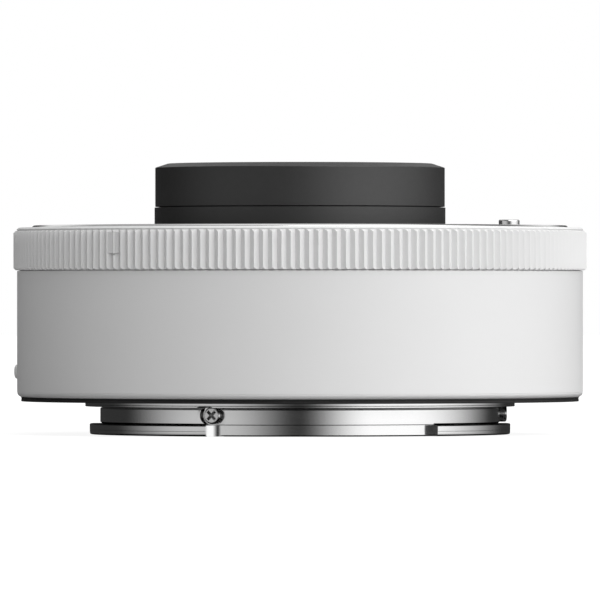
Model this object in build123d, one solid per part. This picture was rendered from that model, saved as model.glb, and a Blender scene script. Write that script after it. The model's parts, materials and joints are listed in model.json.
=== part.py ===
from build123d import *
import math
import os

# Camera teleconverter, in millimetres.
# The optical axis is Z and the front, which takes the lens, is up (+Z).
# The origin is on the optical axis, level with the rear ends of the bayonet tabs.
# An azimuth is in degrees from the front view (-Y), growing towards +X and on to the back.

# Bayonet sizes, shared by the male rear mount and the female front mount
NECK_R = 21.75
TAB_REACH = 1.15
TAB_THICK = 1.18
NECK_HEIGHT = 1.81
BOSS_STEP = 1.63
BOSS_HEIGHT = 0.66
MOUNT_WALL = 1.6
FLANGE_LAND = 4.32
FLANGE_THICK = 1.5
MOUNT_PLAY = 0.12
LOCK_CIRCLE_STEP = 3.0
MOUNT_SCREW_STEP = 2.2

# Outside, from the rear flange to the hood
SEAL_WIDTH = 0.6
TRIM_WIDTH = 2.05
TRIM_HEIGHT = 0.42
BODY_STEP = 0.45
BODY_WALL = 1.3
BODY_LENGTH = 13.77
BODY_CHAMFER_HEIGHT = 0.54
BODY_CHAMFER_WIDTH = 0.4
GRIP_STEP = 0.4
GRIP_LENGTH = 4.26
GRIP_WALL = 0.85
RIB_COUNT = 200
RIB_DEPTH = 0.42
INDEX_WIDTH = 1.48
INDEX_LENGTH = 2.3
INDEX_DROP = 0.26
INDEX_AZIMUTH = -39.9
RIM_GAP = 0.12
RIM_HEIGHT = 0.25
RIM_INSET = 0.35
RIM_CHAMFER = 0.1
PLATE_INSET = 1.6
PLATE_PROUD = 0.23
HOOD_RISE = 6.75
HOOD_LENGTH = 4.71
HOOD_GROOVE = 0.08
HOOD_CHAMFER_HEIGHT = 0.45
HOOD_CHAMFER_WIDTH = 1.37
HOOD_STEP = 0.07
HOOD_WALL = 1.05
COLLAR_WALL = 0.84
RECESS_WIDTH = 6.03
RECESS_DEPTH = 5.1

# Clearances
FIT = 0.05
PLAY = 0.1
CEMENT = 0.02
OVERRUN = 1.0

# Small round pieces that repeat have few sides
SMALL_SIDES = 10
WIRE_SIDES = 4

# Front mount
PLATE_THICK = 1.25
SLEEVE_WALL = 1.5
CLAW_COUNT = 3
CLAW_SPAN = 50.0
CLAW_FIRST_AZIMUTH = 70.0
LEAF_THICK = 0.25
LEAF_SPAN = 26.0
LEAF_DROP = 0.3
GASKET_THICK = 0.15
GASKET_WIDTH = 1.2
MOUNT_SCREW_AZIMUTHS = (40.0, 140.0, 220.0, 320.0)
FRAME_SCREW_AZIMUTHS = (18.0, 162.0, 198.0, 342.0)

# Rear mount
TAB_SPANS = ((-98.0, 71.8), (41.3, 56.7), (152.0, 60.0))
TAB_MILL_R = 1.5
TAB_EDGE = 0.18
BOSS_FOOT = 0.07
NECK_SCREW_AZIMUTHS = (-25.8, 94.2, 214.2)
NECK_SCREW_HEIGHT = 2.25
NECK_SCREW_HEAD_R = 0.88
NECK_SCREW_HEAD_DEPTH = 1.3
NECK_SCREW_SUNK = 0.45
NECK_SCREW_SHANK_R = 0.5
NECK_SCREW_LENGTH = 1.6
POCKET_R = 1.05
SHIM_THICK = 0.15

# Flat-head screws of the two mounts and pan-head screws inside
FLAT_SCREW_HEAD_R = 1.2
FLAT_SCREW_HEAD_HEIGHT = 0.7
FLAT_SCREW_SHANK_R = 0.65
FLAT_SCREW_LENGTH = 4.4
PAN_SCREW_HEAD_R = 0.95
PAN_SCREW_HEAD_HEIGHT = 0.55
PAN_SCREW_SHANK_R = 0.5
PAN_SCREW_LENGTH = 2.2

# Frames
FRAME_WALL = 1.55
DECK_THICK = 2.2
GALLERY_DEPTH = 5.85
INNER_WALL = 1.2
WEB_THICK = 1.2
POST_R = 1.6
HUB_WALL = 1.4
HUB_DEPTH = 2.7
BAFFLE_THICK = 0.4

# Lock pin and its release
PIN_R = 1.12
PIN_RISE = 0.55
PIN_TRAVEL = 0.75
PIN_AZIMUTH = 58.5
PIN_COLLAR_R = 1.5
PIN_COLLAR_HEIGHT = 0.6
PIN_STEM_R = 0.55
PIN_SHAFT_PLAY = 0.06
PIN_POCKET_FLOOR = 0.45
CROSS_PIN_R = 0.3
CROSS_PIN_LENGTH = 2.4
SLIDE_THICK = 0.5
SLIDE_DROP = 0.15
SLIDE_WIDTH = 2.6
SLIDE_TURN_ANGLE = 6.0
SLIDE_START_AZIMUTH = 50.0
LEVER_AZIMUTH = 117.0
LEVER_WIDTH = 5.2
LEVER_HEIGHT = 3.1
LEVER_PROUD = 0.5
LEVER_RIDGES = 5
LEVER_PLAY = 0.15
SPRING_WIRE_R = 0.1
PIN_SPRING_TURNS = 2
RELEASE_SPRING_R = 0.75
RELEASE_SPRING_TURNS = 4
SPRING_STOP_AZIMUTH = 100.0
SPRING_TAB_AZIMUTH = 84.0
SPRING_TAB_THICK = 0.5
SPRING_TAB_DEPTH = 2.2

# Contacts
CONTACT_COUNT = 10
CONTACT_PITCH = 2.0
CONTACT_AZIMUTH = 160.0
CONTACT_BLOCK_WIDTH = 2.6
CONTACT_BLOCK_PLAY = 0.25
CONTACT_END = 2.1
CONTACT_LEG = 1.5
CONTACT_PIN_R = 0.35
CONTACT_COLLAR_R = 0.55
CONTACT_COLLAR_HEIGHT = 0.5
CONTACT_TRAVEL = 0.35
CONTACT_BLOCK_TOP_GAP = 3.6
CONTACT_BLOCK_HEIGHT = 4.1
CONTACT_ROOF = 1.9
CONTACT_TAIL = 0.15
CONTACT_LEAF_THICK = 0.15
PAD_WIDTH = 1.3
PAD_LENGTH = 1.9
PAD_THICK = 0.35
PAD_PROUD = 0.1
REAR_BLOCK_LIFT = 0.35
REAR_BLOCK_HEIGHT = 3.2
BOARD_THICK = 0.8
BOARD_DROP = 1.1
BOARD_START_AZIMUTH = 66.0
BOARD_SPAN_ANGLE = 210.0
BOARD_SCREW_AZIMUTHS = (78.0, 205.0, 264.0)
CHIP_THICK = 0.8
CHIP_PLACES = ((97.0, 4.5, 4.5), (117.0, 3.0, 2.0), (224.0, 4.0, 5.5), (246.0, 2.4, 3.6))
FLEX_THICK = 0.15
FLEX_WIDTH = 7.0
FLEX_GAP = 0.4
FLEX_FOOT = 2.0

# Rear baffle
BAFFLE_LIFT = 0.8
BAFFLE_FLOOR = 0.8
BAFFLE_WALL = 1.4
BAFFLE_HEIGHT = 4.2
BARREL_PLAY = 0.3
MASK_THICK = 0.3
MASK_WIDTH_SHARE = 0.78
MASK_HEIGHT_SHARE = 0.56
MASK_CORNER = 1.0

# Optics: edge thickness and the rise of each surface at the axis
# The front surface's rise is upwards and the rear surface's rise is downwards.
FRONT_GLASS_EDGE = (1.0, 3.1)
FRONT_GLASS_RISE = (1.6, 1.8, -0.3)
SECOND_GLASS_EDGE = 1.3
SECOND_GLASS_RISE = (0.7, -0.6)
MIDDLE_GLASS_EDGE = (1.2, 1.0)
MIDDLE_GLASS_RISE = (0.45, -0.5, -0.3)
FOURTH_GLASS_EDGE = 1.5
FOURTH_GLASS_RISE = (-0.35, -0.35)
REAR_GLASS_EDGE = (2.0, 1.2)
REAR_GLASS_RISE = (-0.4, -0.9, 0.9)
GLASS_PLAY = 0.1
SPACER_WALL = 0.8
SPACER_HEIGHT = 0.8
RETAINER_HEIGHT = 0.5
FRONT_RETAINER_HEIGHT = 0.6
FRONT_LEDGE_HEIGHT = 2.0
REAR_LEDGE_HEIGHT = 1.4
LEDGE_WIDTH = 1.2
FRONT_GLASS_LIFT = 0.5
REAR_CELL_WALL = 2.4
REAR_CELL_INSET = 1.84
CELL_FLANGE_THICK = 0.8
CELL_FLANGE_WIDTH = 2.9
CELL_SCREW_AZIMUTHS = (0.0, 90.0, 250.0)
LUG_THICK = 0.8
LUG_WIDTH = 5.0
SPIGOT_LENGTH = 1.0
TRAP_COUNT = 4
TRAP_DEPTH = 0.25

# Index dot on the body
DOT_R = 0.78
DOT_PROUD = 0.33
DOT_HEIGHT = 6.8
DOT_AZIMUTH = -90.0

# Radii that follow
TAB_R = NECK_R + TAB_REACH
BOSS_R = NECK_R + BOSS_STEP
NECK_BORE = NECK_R - MOUNT_WALL
FLANGE_R = BOSS_R + FLANGE_LAND
SEAL_R = FLANGE_R + SEAL_WIDTH
TRIM_R = SEAL_R + TRIM_WIDTH
BODY_R = TRIM_R + BODY_STEP
SHELL_BORE = BODY_R - BODY_WALL
GRIP_R = BODY_R + GRIP_STEP
SHOULDER_R = GRIP_R - GRIP_WALL
RIM_R = GRIP_R - RIM_INSET
PLATE_R = BODY_R - PLATE_INSET
FRAME_R = SHELL_BORE - FIT
GALLERY_R = FRAME_R - FRAME_WALL
CLAW_R = NECK_R + MOUNT_PLAY
THROAT_R = TAB_R + MOUNT_PLAY
COUNTERBORE_R = BOSS_R + MOUNT_PLAY
SLEEVE_R = THROAT_R + SLEEVE_WALL
LEAF_R = THROAT_R + FIT
WALL_BORE = THROAT_R + PLAY
WALL_R = WALL_BORE + INNER_WALL
LOCK_R = BOSS_R + LOCK_CIRCLE_STEP
MOUNT_SCREW_R = BOSS_R + MOUNT_SCREW_STEP
COLLAR_R = CLAW_R - RECESS_WIDTH
HOOD_R = COLLAR_R - HOOD_STEP
COLLAR_BORE = COLLAR_R - COLLAR_WALL
SPIGOT_R = COLLAR_BORE - FIT
HOOD_BORE = SPIGOT_R - HOOD_WALL
FRONT_GLASS_R = HOOD_BORE - 2 * GLASS_PLAY - HOOD_WALL / 2
FRONT_BORE = FRONT_GLASS_R + GLASS_PLAY
REAR_CELL_R = COLLAR_R - REAR_CELL_INSET
REAR_BORE = REAR_CELL_R - REAR_CELL_WALL
REAR_GLASS_R = REAR_BORE - GLASS_PLAY
SECOND_BORE = FRONT_BORE - LEDGE_WIDTH / 2
SECOND_GLASS_R = SECOND_BORE - GLASS_PLAY
CELL_FLANGE_R = COLLAR_R + CELL_FLANGE_WIDTH
HUB_BORE = REAR_CELL_R + FIT
HUB_R = HUB_BORE + HUB_WALL
CONTACT_BLOCK_R = NECK_BORE - CONTACT_BLOCK_PLAY
CONTACT_BLOCK_BORE = CONTACT_BLOCK_R - CONTACT_BLOCK_WIDTH
CONTACT_R = CONTACT_BLOCK_R - CONTACT_BLOCK_WIDTH / 2
BAFFLE_R = NECK_BORE - FIT
BOARD_R = GALLERY_R - BARREL_PLAY
BOARD_BORE = HUB_R + BARREL_PLAY
BOARD_SCREW_R = (BOARD_R + BOARD_BORE) / 2
CELL_SEAT_R = COLLAR_R + LEDGE_WIDTH / 2
CELL_SCREW_R = (COLLAR_R + CELL_FLANGE_R) / 2
FRONT_FLEX_R = CONTACT_BLOCK_R + FLEX_GAP

# Heights that follow, from the rear up and from the front down
NECK_Z = TAB_THICK
BOSS_Z = NECK_Z + NECK_HEIGHT
FLANGE_Z = BOSS_Z + BOSS_HEIGHT
FLANGE_TOP = FLANGE_Z + FLANGE_THICK
REAR_FRAME_Z = FLANGE_TOP + SHIM_THICK
BODY_Z = FLANGE_Z + TRIM_HEIGHT
GRIP_Z = BODY_Z + BODY_LENGTH
GRIP_TOP = GRIP_Z + GRIP_LENGTH
RIM_Z = GRIP_TOP + RIM_GAP
RIM_TOP = RIM_Z + RIM_HEIGHT
FACE_Z = RIM_TOP + PLATE_PROUD
PLATE_Z = FACE_Z - PLATE_THICK
DECK_TOP = PLATE_Z - GASKET_THICK
CLAW_Z = FACE_Z - BOSS_HEIGHT - NECK_HEIGHT + MOUNT_PLAY
CLAW_TOP = FACE_Z - BOSS_HEIGHT - MOUNT_PLAY
LEAF_Z = CLAW_Z - LEAF_THICK
DECK_Z = DECK_TOP - DECK_THICK
FLOOR_Z = FACE_Z - RECESS_DEPTH
BAFFLE_Z = FLOOR_Z - BAFFLE_THICK
WEB_TOP = DECK_Z - GALLERY_DEPTH
WEB_Z = WEB_TOP - WEB_THICK
HOOD_TOP = FACE_Z + HOOD_RISE
HOOD_Z = HOOD_TOP - HOOD_LENGTH
COLLAR_TOP = HOOD_Z - HOOD_GROOVE
SPIGOT_Z = HOOD_Z - SPIGOT_LENGTH
BOARD_TOP = WEB_Z - BOARD_DROP
BOARD_Z = BOARD_TOP - BOARD_THICK
CONTACT_TOP = FACE_Z - CONTACT_BLOCK_TOP_GAP
CONTACT_Z = CONTACT_TOP - CONTACT_BLOCK_HEIGHT
SLIDE_TOP = DECK_Z - SLIDE_DROP
SLIDE_Z = SLIDE_TOP - SLIDE_THICK
FRONT_GLASS_TOP = HOOD_Z + FRONT_GLASS_LIFT
FRONT_SEAT_Z = FRONT_GLASS_TOP - sum(FRONT_GLASS_EDGE)
SECOND_GLASS_TOP = FRONT_SEAT_Z - FRONT_LEDGE_HEIGHT
SECOND_GLASS_LOW = SECOND_GLASS_TOP - SECOND_GLASS_EDGE
MIDDLE_GLASS_TOP = WEB_TOP - RETAINER_HEIGHT
MIDDLE_GLASS_LOW = MIDDLE_GLASS_TOP - sum(MIDDLE_GLASS_EDGE)
FOURTH_GLASS_TOP = MIDDLE_GLASS_LOW - SPACER_HEIGHT
FOURTH_GLASS_LOW = FOURTH_GLASS_TOP - FOURTH_GLASS_EDGE
REAR_GLASS_TOP = FOURTH_GLASS_LOW - SPACER_HEIGHT
REAR_GLASS_LOW = REAR_GLASS_TOP - sum(REAR_GLASS_EDGE)
REAR_CELL_Z = REAR_GLASS_LOW - REAR_LEDGE_HEIGHT


def place(azimuth, radius=0, height=0):
    """A location whose X points outwards at this azimuth, and whose Y follows the rim."""
    return Rot(0, 0, azimuth - 90) * Pos(radius, 0, height)


def turned(*points):
    """A solid of revolution about the optical axis, from (radius, height) corners."""
    corners = [(radius, 0, height) for radius, height in points]
    return revolve(make_face(Polyline(*corners, close=True)), Axis.Z)


def ring(outer, inner, low, high):
    """A plain ring about the optical axis."""
    return Pos(0, 0, low) * extrude(Circle(outer) - Circle(inner), high - low)


def disc(radius, low, high):
    """A plain round about the local axis."""
    return Pos(0, 0, low) * extrude(Circle(radius), high - low)


def sector(outer, inner, low, high, start, span):
    """A piece of a ring, from one azimuth over a span in degrees."""
    section = make_face(
        Polyline((inner, 0, low), (outer, 0, low), (outer, 0, high), (inner, 0, high), close=True)
    )
    return Rot(0, 0, start - 90) * revolve(section, Axis.Z, span)


def block(length, width, height):
    """A box that stands on its local origin."""
    return Box(length, width, height, align=(Align.CENTER, Align.CENTER, Align.MIN))


def degrees_along(length, radius):
    """The angle in degrees that a length takes up on a circle."""
    return math.degrees(length / radius)


def bar(radius, low, high):
    """A small round bar about the local axis, with few sides, inside its radius."""
    return Pos(0, 0, low) * extrude(RegularPolygon(radius, SMALL_SIDES), high - low)


def bar_hole(radius, low, high):
    """A hole with few sides, whose flats clear a bar of this radius."""
    section = RegularPolygon(radius, SMALL_SIDES, major_radius=False)
    return Pos(0, 0, low) * extrude(section, high - low)


def flat_screw():
    """A flat-head screw with its face at the local origin and its tip below."""
    head = Pos(0, 0, -FLAT_SCREW_HEAD_HEIGHT / 2) * Cone(
        FLAT_SCREW_SHANK_R, FLAT_SCREW_HEAD_R, FLAT_SCREW_HEAD_HEIGHT
    )
    return head + bar(FLAT_SCREW_SHANK_R, -FLAT_SCREW_LENGTH, -FLAT_SCREW_HEAD_HEIGHT)


def flat_screw_hole():
    """The clearance hole and countersink of a flat-head screw, with its face at the origin."""
    shank = bar_hole(FLAT_SCREW_SHANK_R + FIT, -FLAT_SCREW_LENGTH - FIT, OVERRUN)
    sink = Pos(0, 0, -FLAT_SCREW_HEAD_HEIGHT / 2) * Cone(
        FLAT_SCREW_SHANK_R + FIT, FLAT_SCREW_HEAD_R + FIT, FLAT_SCREW_HEAD_HEIGHT
    )
    return shank + sink + disc(FLAT_SCREW_HEAD_R + FIT, 0, OVERRUN)


def tapped_hole():
    """The blind hole of a flat-head screw in a frame, with the screw's face at the origin."""
    return bar_hole(FLAT_SCREW_SHANK_R + FIT, -FLAT_SCREW_LENGTH - FIT, OVERRUN)


def pan_screw(head_r, head_height, shank_r, length):
    """A pan-head screw with its seat at the local origin, head up and tip down."""
    return bar(head_r, 0, head_height) + bar(shank_r, -length, 0)


def inner_screw():
    """The pan-head screw that is used inside the converter."""
    return pan_screw(
        PAN_SCREW_HEAD_R, PAN_SCREW_HEAD_HEIGHT, PAN_SCREW_SHANK_R, PAN_SCREW_LENGTH
    )


def inner_screw_hole():
    """The tapped hole of an inner screw, below the local origin."""
    return bar_hole(PAN_SCREW_SHANK_R + FIT, -PAN_SCREW_LENGTH - FIT, OVERRUN)


def surface(radius, rise, edge):
    """One glass surface as an arc from the axis to its edge, in the XZ plane."""
    if rise == 0:
        return Line((0, 0, edge), (radius, 0, edge))
    bend = (radius**2 + rise**2) / (2 * rise)
    middle = radius / 2
    drop = bend - math.copysign(math.sqrt(bend**2 - middle**2), bend)
    return ThreePointArc((0, 0, edge + rise), (middle, 0, edge + rise - drop), (radius, 0, edge))


def glass(radius, low, high, front_rise, rear_rise):
    """A lens between two edge heights, with each face rising outwards by its rise."""
    top = surface(radius, front_rise, high)
    bottom = surface(radius, -rear_rise, low)
    rim = Line((radius, 0, high), (radius, 0, low))
    axis = Line((0, 0, high + front_rise), (0, 0, low - rear_rise))
    return revolve(make_face(Curve() + [top, rim, bottom, axis]), Axis.Z)


def coil(radius, wire_r, length, turns):
    """A compression spring that stands on its local origin, as one unbroken tube."""
    pitch = (length - 2 * wire_r) / turns
    path = Helix(pitch, pitch * turns, radius)
    section = Plane(path @ 0, z_dir=path % 0) * RegularPolygon(wire_r, WIRE_SIDES)
    print("least gap between turns", round(pitch - 2 * wire_r, 2))
    return Pos(0, 0, wire_r) * sweep(section, path, is_frenet=True)


def contact_azimuths():
    """The azimuths of the contacts, evenly spaced about the middle one."""
    step = degrees_along(CONTACT_PITCH, CONTACT_R)
    first = CONTACT_AZIMUTH - step * (CONTACT_COUNT - 1) / 2
    return [first + step * index for index in range(CONTACT_COUNT)]


def contact_span(extra=0.0):
    """The start and the span of the contact blocks, in degrees."""
    azimuths = contact_azimuths()
    end = degrees_along(CONTACT_END + extra, CONTACT_R)
    return azimuths[0] - end, azimuths[-1] - azimuths[0] + 2 * end


# Rear mount
def rear_tab(start, span):
    """One bayonet tab with broken edges, whose ends run out where a round mill left them."""
    tab = turned(
        (NECK_BORE, 0),
        (TAB_R - TAB_EDGE, 0),
        (TAB_R, TAB_EDGE),
        (TAB_R, TAB_THICK - TAB_EDGE),
        (TAB_R - TAB_EDGE, TAB_THICK),
        (NECK_BORE, TAB_THICK),
    )
    mill_circle = NECK_R - FIT + TAB_MILL_R
    runout = math.sqrt(TAB_MILL_R**2 - (mill_circle - TAB_R) ** 2)
    reach = degrees_along(runout, TAB_R)
    low, high = -OVERRUN, TAB_THICK + OVERRUN
    tab &= sector(
        TAB_R + OVERRUN, NECK_BORE - OVERRUN, low, high, start - reach, span + 2 * reach
    )
    for azimuth in (start - reach, start + span + reach):
        tab -= place(azimuth, mill_circle) * disc(TAB_MILL_R, low, high)
    return tab


def neck_pocket(azimuth):
    """The round spot face of a neck screw, which bites into the boss."""
    return place(azimuth, NECK_R - NECK_SCREW_SUNK, NECK_SCREW_HEIGHT) * Rot(0, 90, 0) * disc(
        POCKET_R, 0, BOSS_STEP + OVERRUN + NECK_SCREW_SUNK
    )


def neck_screw_hole(azimuth):
    """The hole of a neck screw through the neck and the baffle's wall."""
    low = NECK_R - NECK_SCREW_SUNK - NECK_SCREW_LENGTH - OVERRUN
    seat = place(azimuth, 0, NECK_SCREW_HEIGHT) * Rot(0, 90, 0)
    return seat * bar_hole(NECK_SCREW_SHANK_R + FIT, low, NECK_R)


def make_rear_mount():
    """The male bayonet: flange, boss, neck and three tabs, in one turned and milled piece."""
    mount = turned(
        (NECK_BORE, 0),
        (NECK_R, 0),
        (NECK_R, BOSS_Z),
        (BOSS_R - TAB_EDGE, BOSS_Z),
        (BOSS_R, BOSS_Z + TAB_EDGE),
        (BOSS_R, FLANGE_Z - BOSS_FOOT),
        (BOSS_R + BOSS_FOOT, FLANGE_Z),
        (FLANGE_R, FLANGE_Z),
        (FLANGE_R, FLANGE_TOP),
        (NECK_BORE, FLANGE_TOP),
    )
    for start, span in TAB_SPANS:
        mount += rear_tab(start, span)
    for azimuth in NECK_SCREW_AZIMUTHS:
        mount -= neck_pocket(azimuth)
        mount -= neck_screw_hole(azimuth)
    for azimuth in MOUNT_SCREW_AZIMUTHS:
        mount -= place(azimuth, MOUNT_SCREW_R, FLANGE_Z) * Rot(180, 0, 0) * flat_screw_hole()
    slot = disc(PIN_R + PLAY, FLANGE_Z - OVERRUN, FLANGE_TOP + OVERRUN)
    return mount - place(PIN_AZIMUTH, LOCK_R) * slot


def neck_screw_at(azimuth):
    """A neck screw on its spot face, pointing inwards."""
    screw = pan_screw(
        NECK_SCREW_HEAD_R, NECK_SCREW_HEAD_DEPTH, NECK_SCREW_SHANK_R, NECK_SCREW_LENGTH
    )
    seat = place(azimuth, NECK_R - NECK_SCREW_SUNK, NECK_SCREW_HEIGHT)
    return seat * Rot(0, 90, 0) * screw


def make_neck_screws():
    """The three screws that hold the rear baffle in the neck."""
    return Compound([neck_screw_at(azimuth) for azimuth in NECK_SCREW_AZIMUTHS])


def make_rear_mount_screws():
    """The four flat-head screws that hold the rear mount to the rear frame."""
    return Compound(
        [
            place(azimuth, MOUNT_SCREW_R, FLANGE_Z) * Rot(180, 0, 0) * flat_screw()
            for azimuth in MOUNT_SCREW_AZIMUTHS
        ]
    )


def make_rear_shim():
    """The thin brass ring that sets the flange distance."""
    shim = ring(FLANGE_R, BOSS_R, FLANGE_TOP, REAR_FRAME_Z)
    for azimuth in MOUNT_SCREW_AZIMUTHS:
        shim -= place(azimuth, MOUNT_SCREW_R) * bar_hole(
            FLAT_SCREW_SHANK_R + FIT, FLANGE_TOP - OVERRUN, REAR_FRAME_Z + OVERRUN
        )
    return shim


def make_rear_seal():
    """The rubber ring between the metal flange and the trim ring."""
    return ring(SEAL_R, FLANGE_R, FLANGE_Z, REAR_FRAME_Z)


def make_rear_trim_ring():
    """The black ring that closes the rear of the body around the mount."""
    return turned(
        (SEAL_R, FLANGE_Z),
        (TRIM_R, FLANGE_Z),
        (TRIM_R, BODY_Z),
        (FRAME_R, BODY_Z),
        (FRAME_R, REAR_FRAME_Z),
        (SEAL_R, REAR_FRAME_Z),
    )


def make_rear_baffle():
    """The black cup inside the neck, with a round way for the lens barrel."""
    opening = REAR_CELL_R + BARREL_PLAY
    cup = turned(
        (opening, BAFFLE_LIFT),
        (BAFFLE_R, BAFFLE_LIFT),
        (BAFFLE_R, BAFFLE_LIFT + BAFFLE_HEIGHT),
        (BAFFLE_R - BAFFLE_WALL, BAFFLE_LIFT + BAFFLE_HEIGHT),
        (BAFFLE_R - BAFFLE_WALL, BAFFLE_LIFT + BAFFLE_FLOOR),
        (opening, BAFFLE_LIFT + BAFFLE_FLOOR),
    )
    start, span = contact_span(FIT)
    cup -= sector(
        BAFFLE_R + OVERRUN,
        CONTACT_BLOCK_BORE - FIT,
        0,
        BAFFLE_LIFT + BAFFLE_HEIGHT + OVERRUN,
        start,
        span,
    )
    for azimuth in NECK_SCREW_AZIMUTHS:
        cup -= neck_screw_hole(azimuth)
    return cup


def pad_solid(azimuth):
    """One flat gold contact, set in the rear block and a little proud of it."""
    low = REAR_BLOCK_LIFT - PAD_PROUD
    return place(azimuth, CONTACT_R, low) * block(PAD_LENGTH, PAD_WIDTH, PAD_THICK)


def make_rear_contact_block():
    """The black arc that carries the flat rear contacts."""
    start, span = contact_span()
    top = REAR_BLOCK_LIFT + REAR_BLOCK_HEIGHT
    body = sector(CONTACT_BLOCK_R, CONTACT_BLOCK_BORE, REAR_BLOCK_LIFT, top, start, span)
    for azimuth in contact_azimuths():
        body -= pad_solid(azimuth)
    return body


def make_rear_contact_pads():
    """The ten flat gold contacts that face the camera."""
    return Compound([pad_solid(azimuth) for azimuth in contact_azimuths()])


# Outside
def make_main_barrel():
    """The white outer shell, with a shoulder that carries the grip ring."""
    shell = turned(
        (SHELL_BORE, BODY_Z),
        (BODY_R - BODY_CHAMFER_WIDTH, BODY_Z),
        (BODY_R, BODY_Z + BODY_CHAMFER_HEIGHT),
        (BODY_R, GRIP_Z),
        (SHOULDER_R, GRIP_Z),
        (SHOULDER_R, RIM_Z),
        (SHELL_BORE, RIM_Z),
    )
    return shell - lever_window() - dot_solid()


def make_grip_ring():
    """The white grip ring, with V-cut ribs and a plain index land."""
    corners = []
    for index in range(RIB_COUNT):
        for radius, part in ((GRIP_R, 0.0), (GRIP_R - RIB_DEPTH, 0.5)):
            turn = 2 * math.pi * (index + part) / RIB_COUNT
            corners.append((radius * math.cos(turn), radius * math.sin(turn)))
    outline = make_face(Polyline(*corners, close=True)) - Circle(SHOULDER_R + FIT)
    ribbed = Pos(0, 0, GRIP_Z) * extrude(outline, GRIP_LENGTH)
    width = degrees_along(INDEX_WIDTH, GRIP_R)
    top = GRIP_TOP - INDEX_DROP
    ribbed += sector(
        GRIP_R, SHOULDER_R + FIT, top - INDEX_LENGTH, top, INDEX_AZIMUTH - width / 2, width
    )
    return ribbed - lever_window()


def make_front_rim():
    """The thin white ring that frames the front mount plate."""
    return turned(
        (PLATE_R + FIT, RIM_Z),
        (RIM_R, RIM_Z),
        (RIM_R, RIM_TOP - RIM_CHAMFER),
        (RIM_R - RIM_CHAMFER, RIM_TOP),
        (PLATE_R + FIT, RIM_TOP),
    )


def dot_solid():
    """The round index dot, set into the side of the body."""
    depth = BODY_WALL / 2
    return place(DOT_AZIMUTH, BODY_R - depth, DOT_HEIGHT) * Rot(0, 90, 0) * disc(
        DOT_R, 0, depth + DOT_PROUD
    )


def make_index_dot():
    """The rear alignment dot."""
    return dot_solid()


# Front mount
def claw_starts():
    """The first azimuth of each claw of the front mount."""
    return [CLAW_FIRST_AZIMUTH + 360 / CLAW_COUNT * index for index in range(CLAW_COUNT)]


def make_front_mount():
    """The female bayonet: plate, sleeve and three inner claws."""
    mount = turned(
        (COUNTERBORE_R, PLATE_Z),
        (PLATE_R, PLATE_Z),
        (PLATE_R, FACE_Z),
        (COUNTERBORE_R, FACE_Z),
    )
    mount += ring(SLEEVE_R, THROAT_R, CLAW_Z, CLAW_TOP)
    for start in claw_starts():
        mount += sector(THROAT_R + FIT, CLAW_R, CLAW_Z, CLAW_TOP, start, CLAW_SPAN)
    for azimuth in MOUNT_SCREW_AZIMUTHS:
        mount -= place(azimuth, MOUNT_SCREW_R, FACE_Z) * flat_screw_hole()
    hole = disc(PIN_R + PIN_SHAFT_PLAY, CLAW_Z - OVERRUN, FACE_Z + OVERRUN)
    return mount - place(PIN_AZIMUTH, LOCK_R) * hole


def make_front_mount_screws():
    """The four flat-head screws of the front mount plate."""
    return Compound(
        [
            place(azimuth, MOUNT_SCREW_R, FACE_Z) * flat_screw()
            for azimuth in MOUNT_SCREW_AZIMUTHS
        ]
    )


def make_front_leaf_spring():
    """The thin ring under the claws, with three tongues that press on a lens's tabs."""
    spring = ring(SLEEVE_R, LEAF_R, LEAF_Z, CLAW_Z)
    span = math.radians(LEAF_SPAN)
    length = CLAW_R * span
    reach = SLEEVE_R - CLAW_R
    profile = make_face(
        Polyline(
            (0, 0, LEAF_Z),
            (0, length, LEAF_Z - LEAF_DROP),
            (0, length, LEAF_Z - LEAF_DROP + LEAF_THICK),
            (0, 0, CLAW_Z),
            close=True,
        )
    )
    tongue = extrude(profile, reach, both=True)
    keep = ring(LEAF_R + FIT, CLAW_R, LEAF_Z - LEAF_DROP - OVERRUN, CLAW_Z)
    for start in claw_starts():
        middle = start + (CLAW_SPAN - LEAF_SPAN) / 2
        spring += (place(middle, LEAF_R) * tongue) & keep
    return spring


def make_front_gasket():
    """The flat seal between the front mount plate and the front frame."""
    outer = PLATE_R - FIT
    return ring(outer, outer - GASKET_WIDTH, DECK_TOP, PLATE_Z)


def make_front_light_shield():
    """The black floor of the front recess."""
    floor = ring(WALL_BORE - FIT, COLLAR_R + PLAY, BAFFLE_Z, FLOOR_Z)
    start, span = contact_span(CONTACT_BLOCK_PLAY)
    return floor - sector(
        CONTACT_BLOCK_R + CONTACT_BLOCK_PLAY,
        CONTACT_BLOCK_BORE - CONTACT_BLOCK_PLAY,
        BAFFLE_Z - OVERRUN,
        FLOOR_Z + OVERRUN,
        start,
        span,
    )


# Frames
def post(azimuth, radius, low, high):
    """A screw post."""
    return place(azimuth, radius) * bar(POST_R, low, high)


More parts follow.
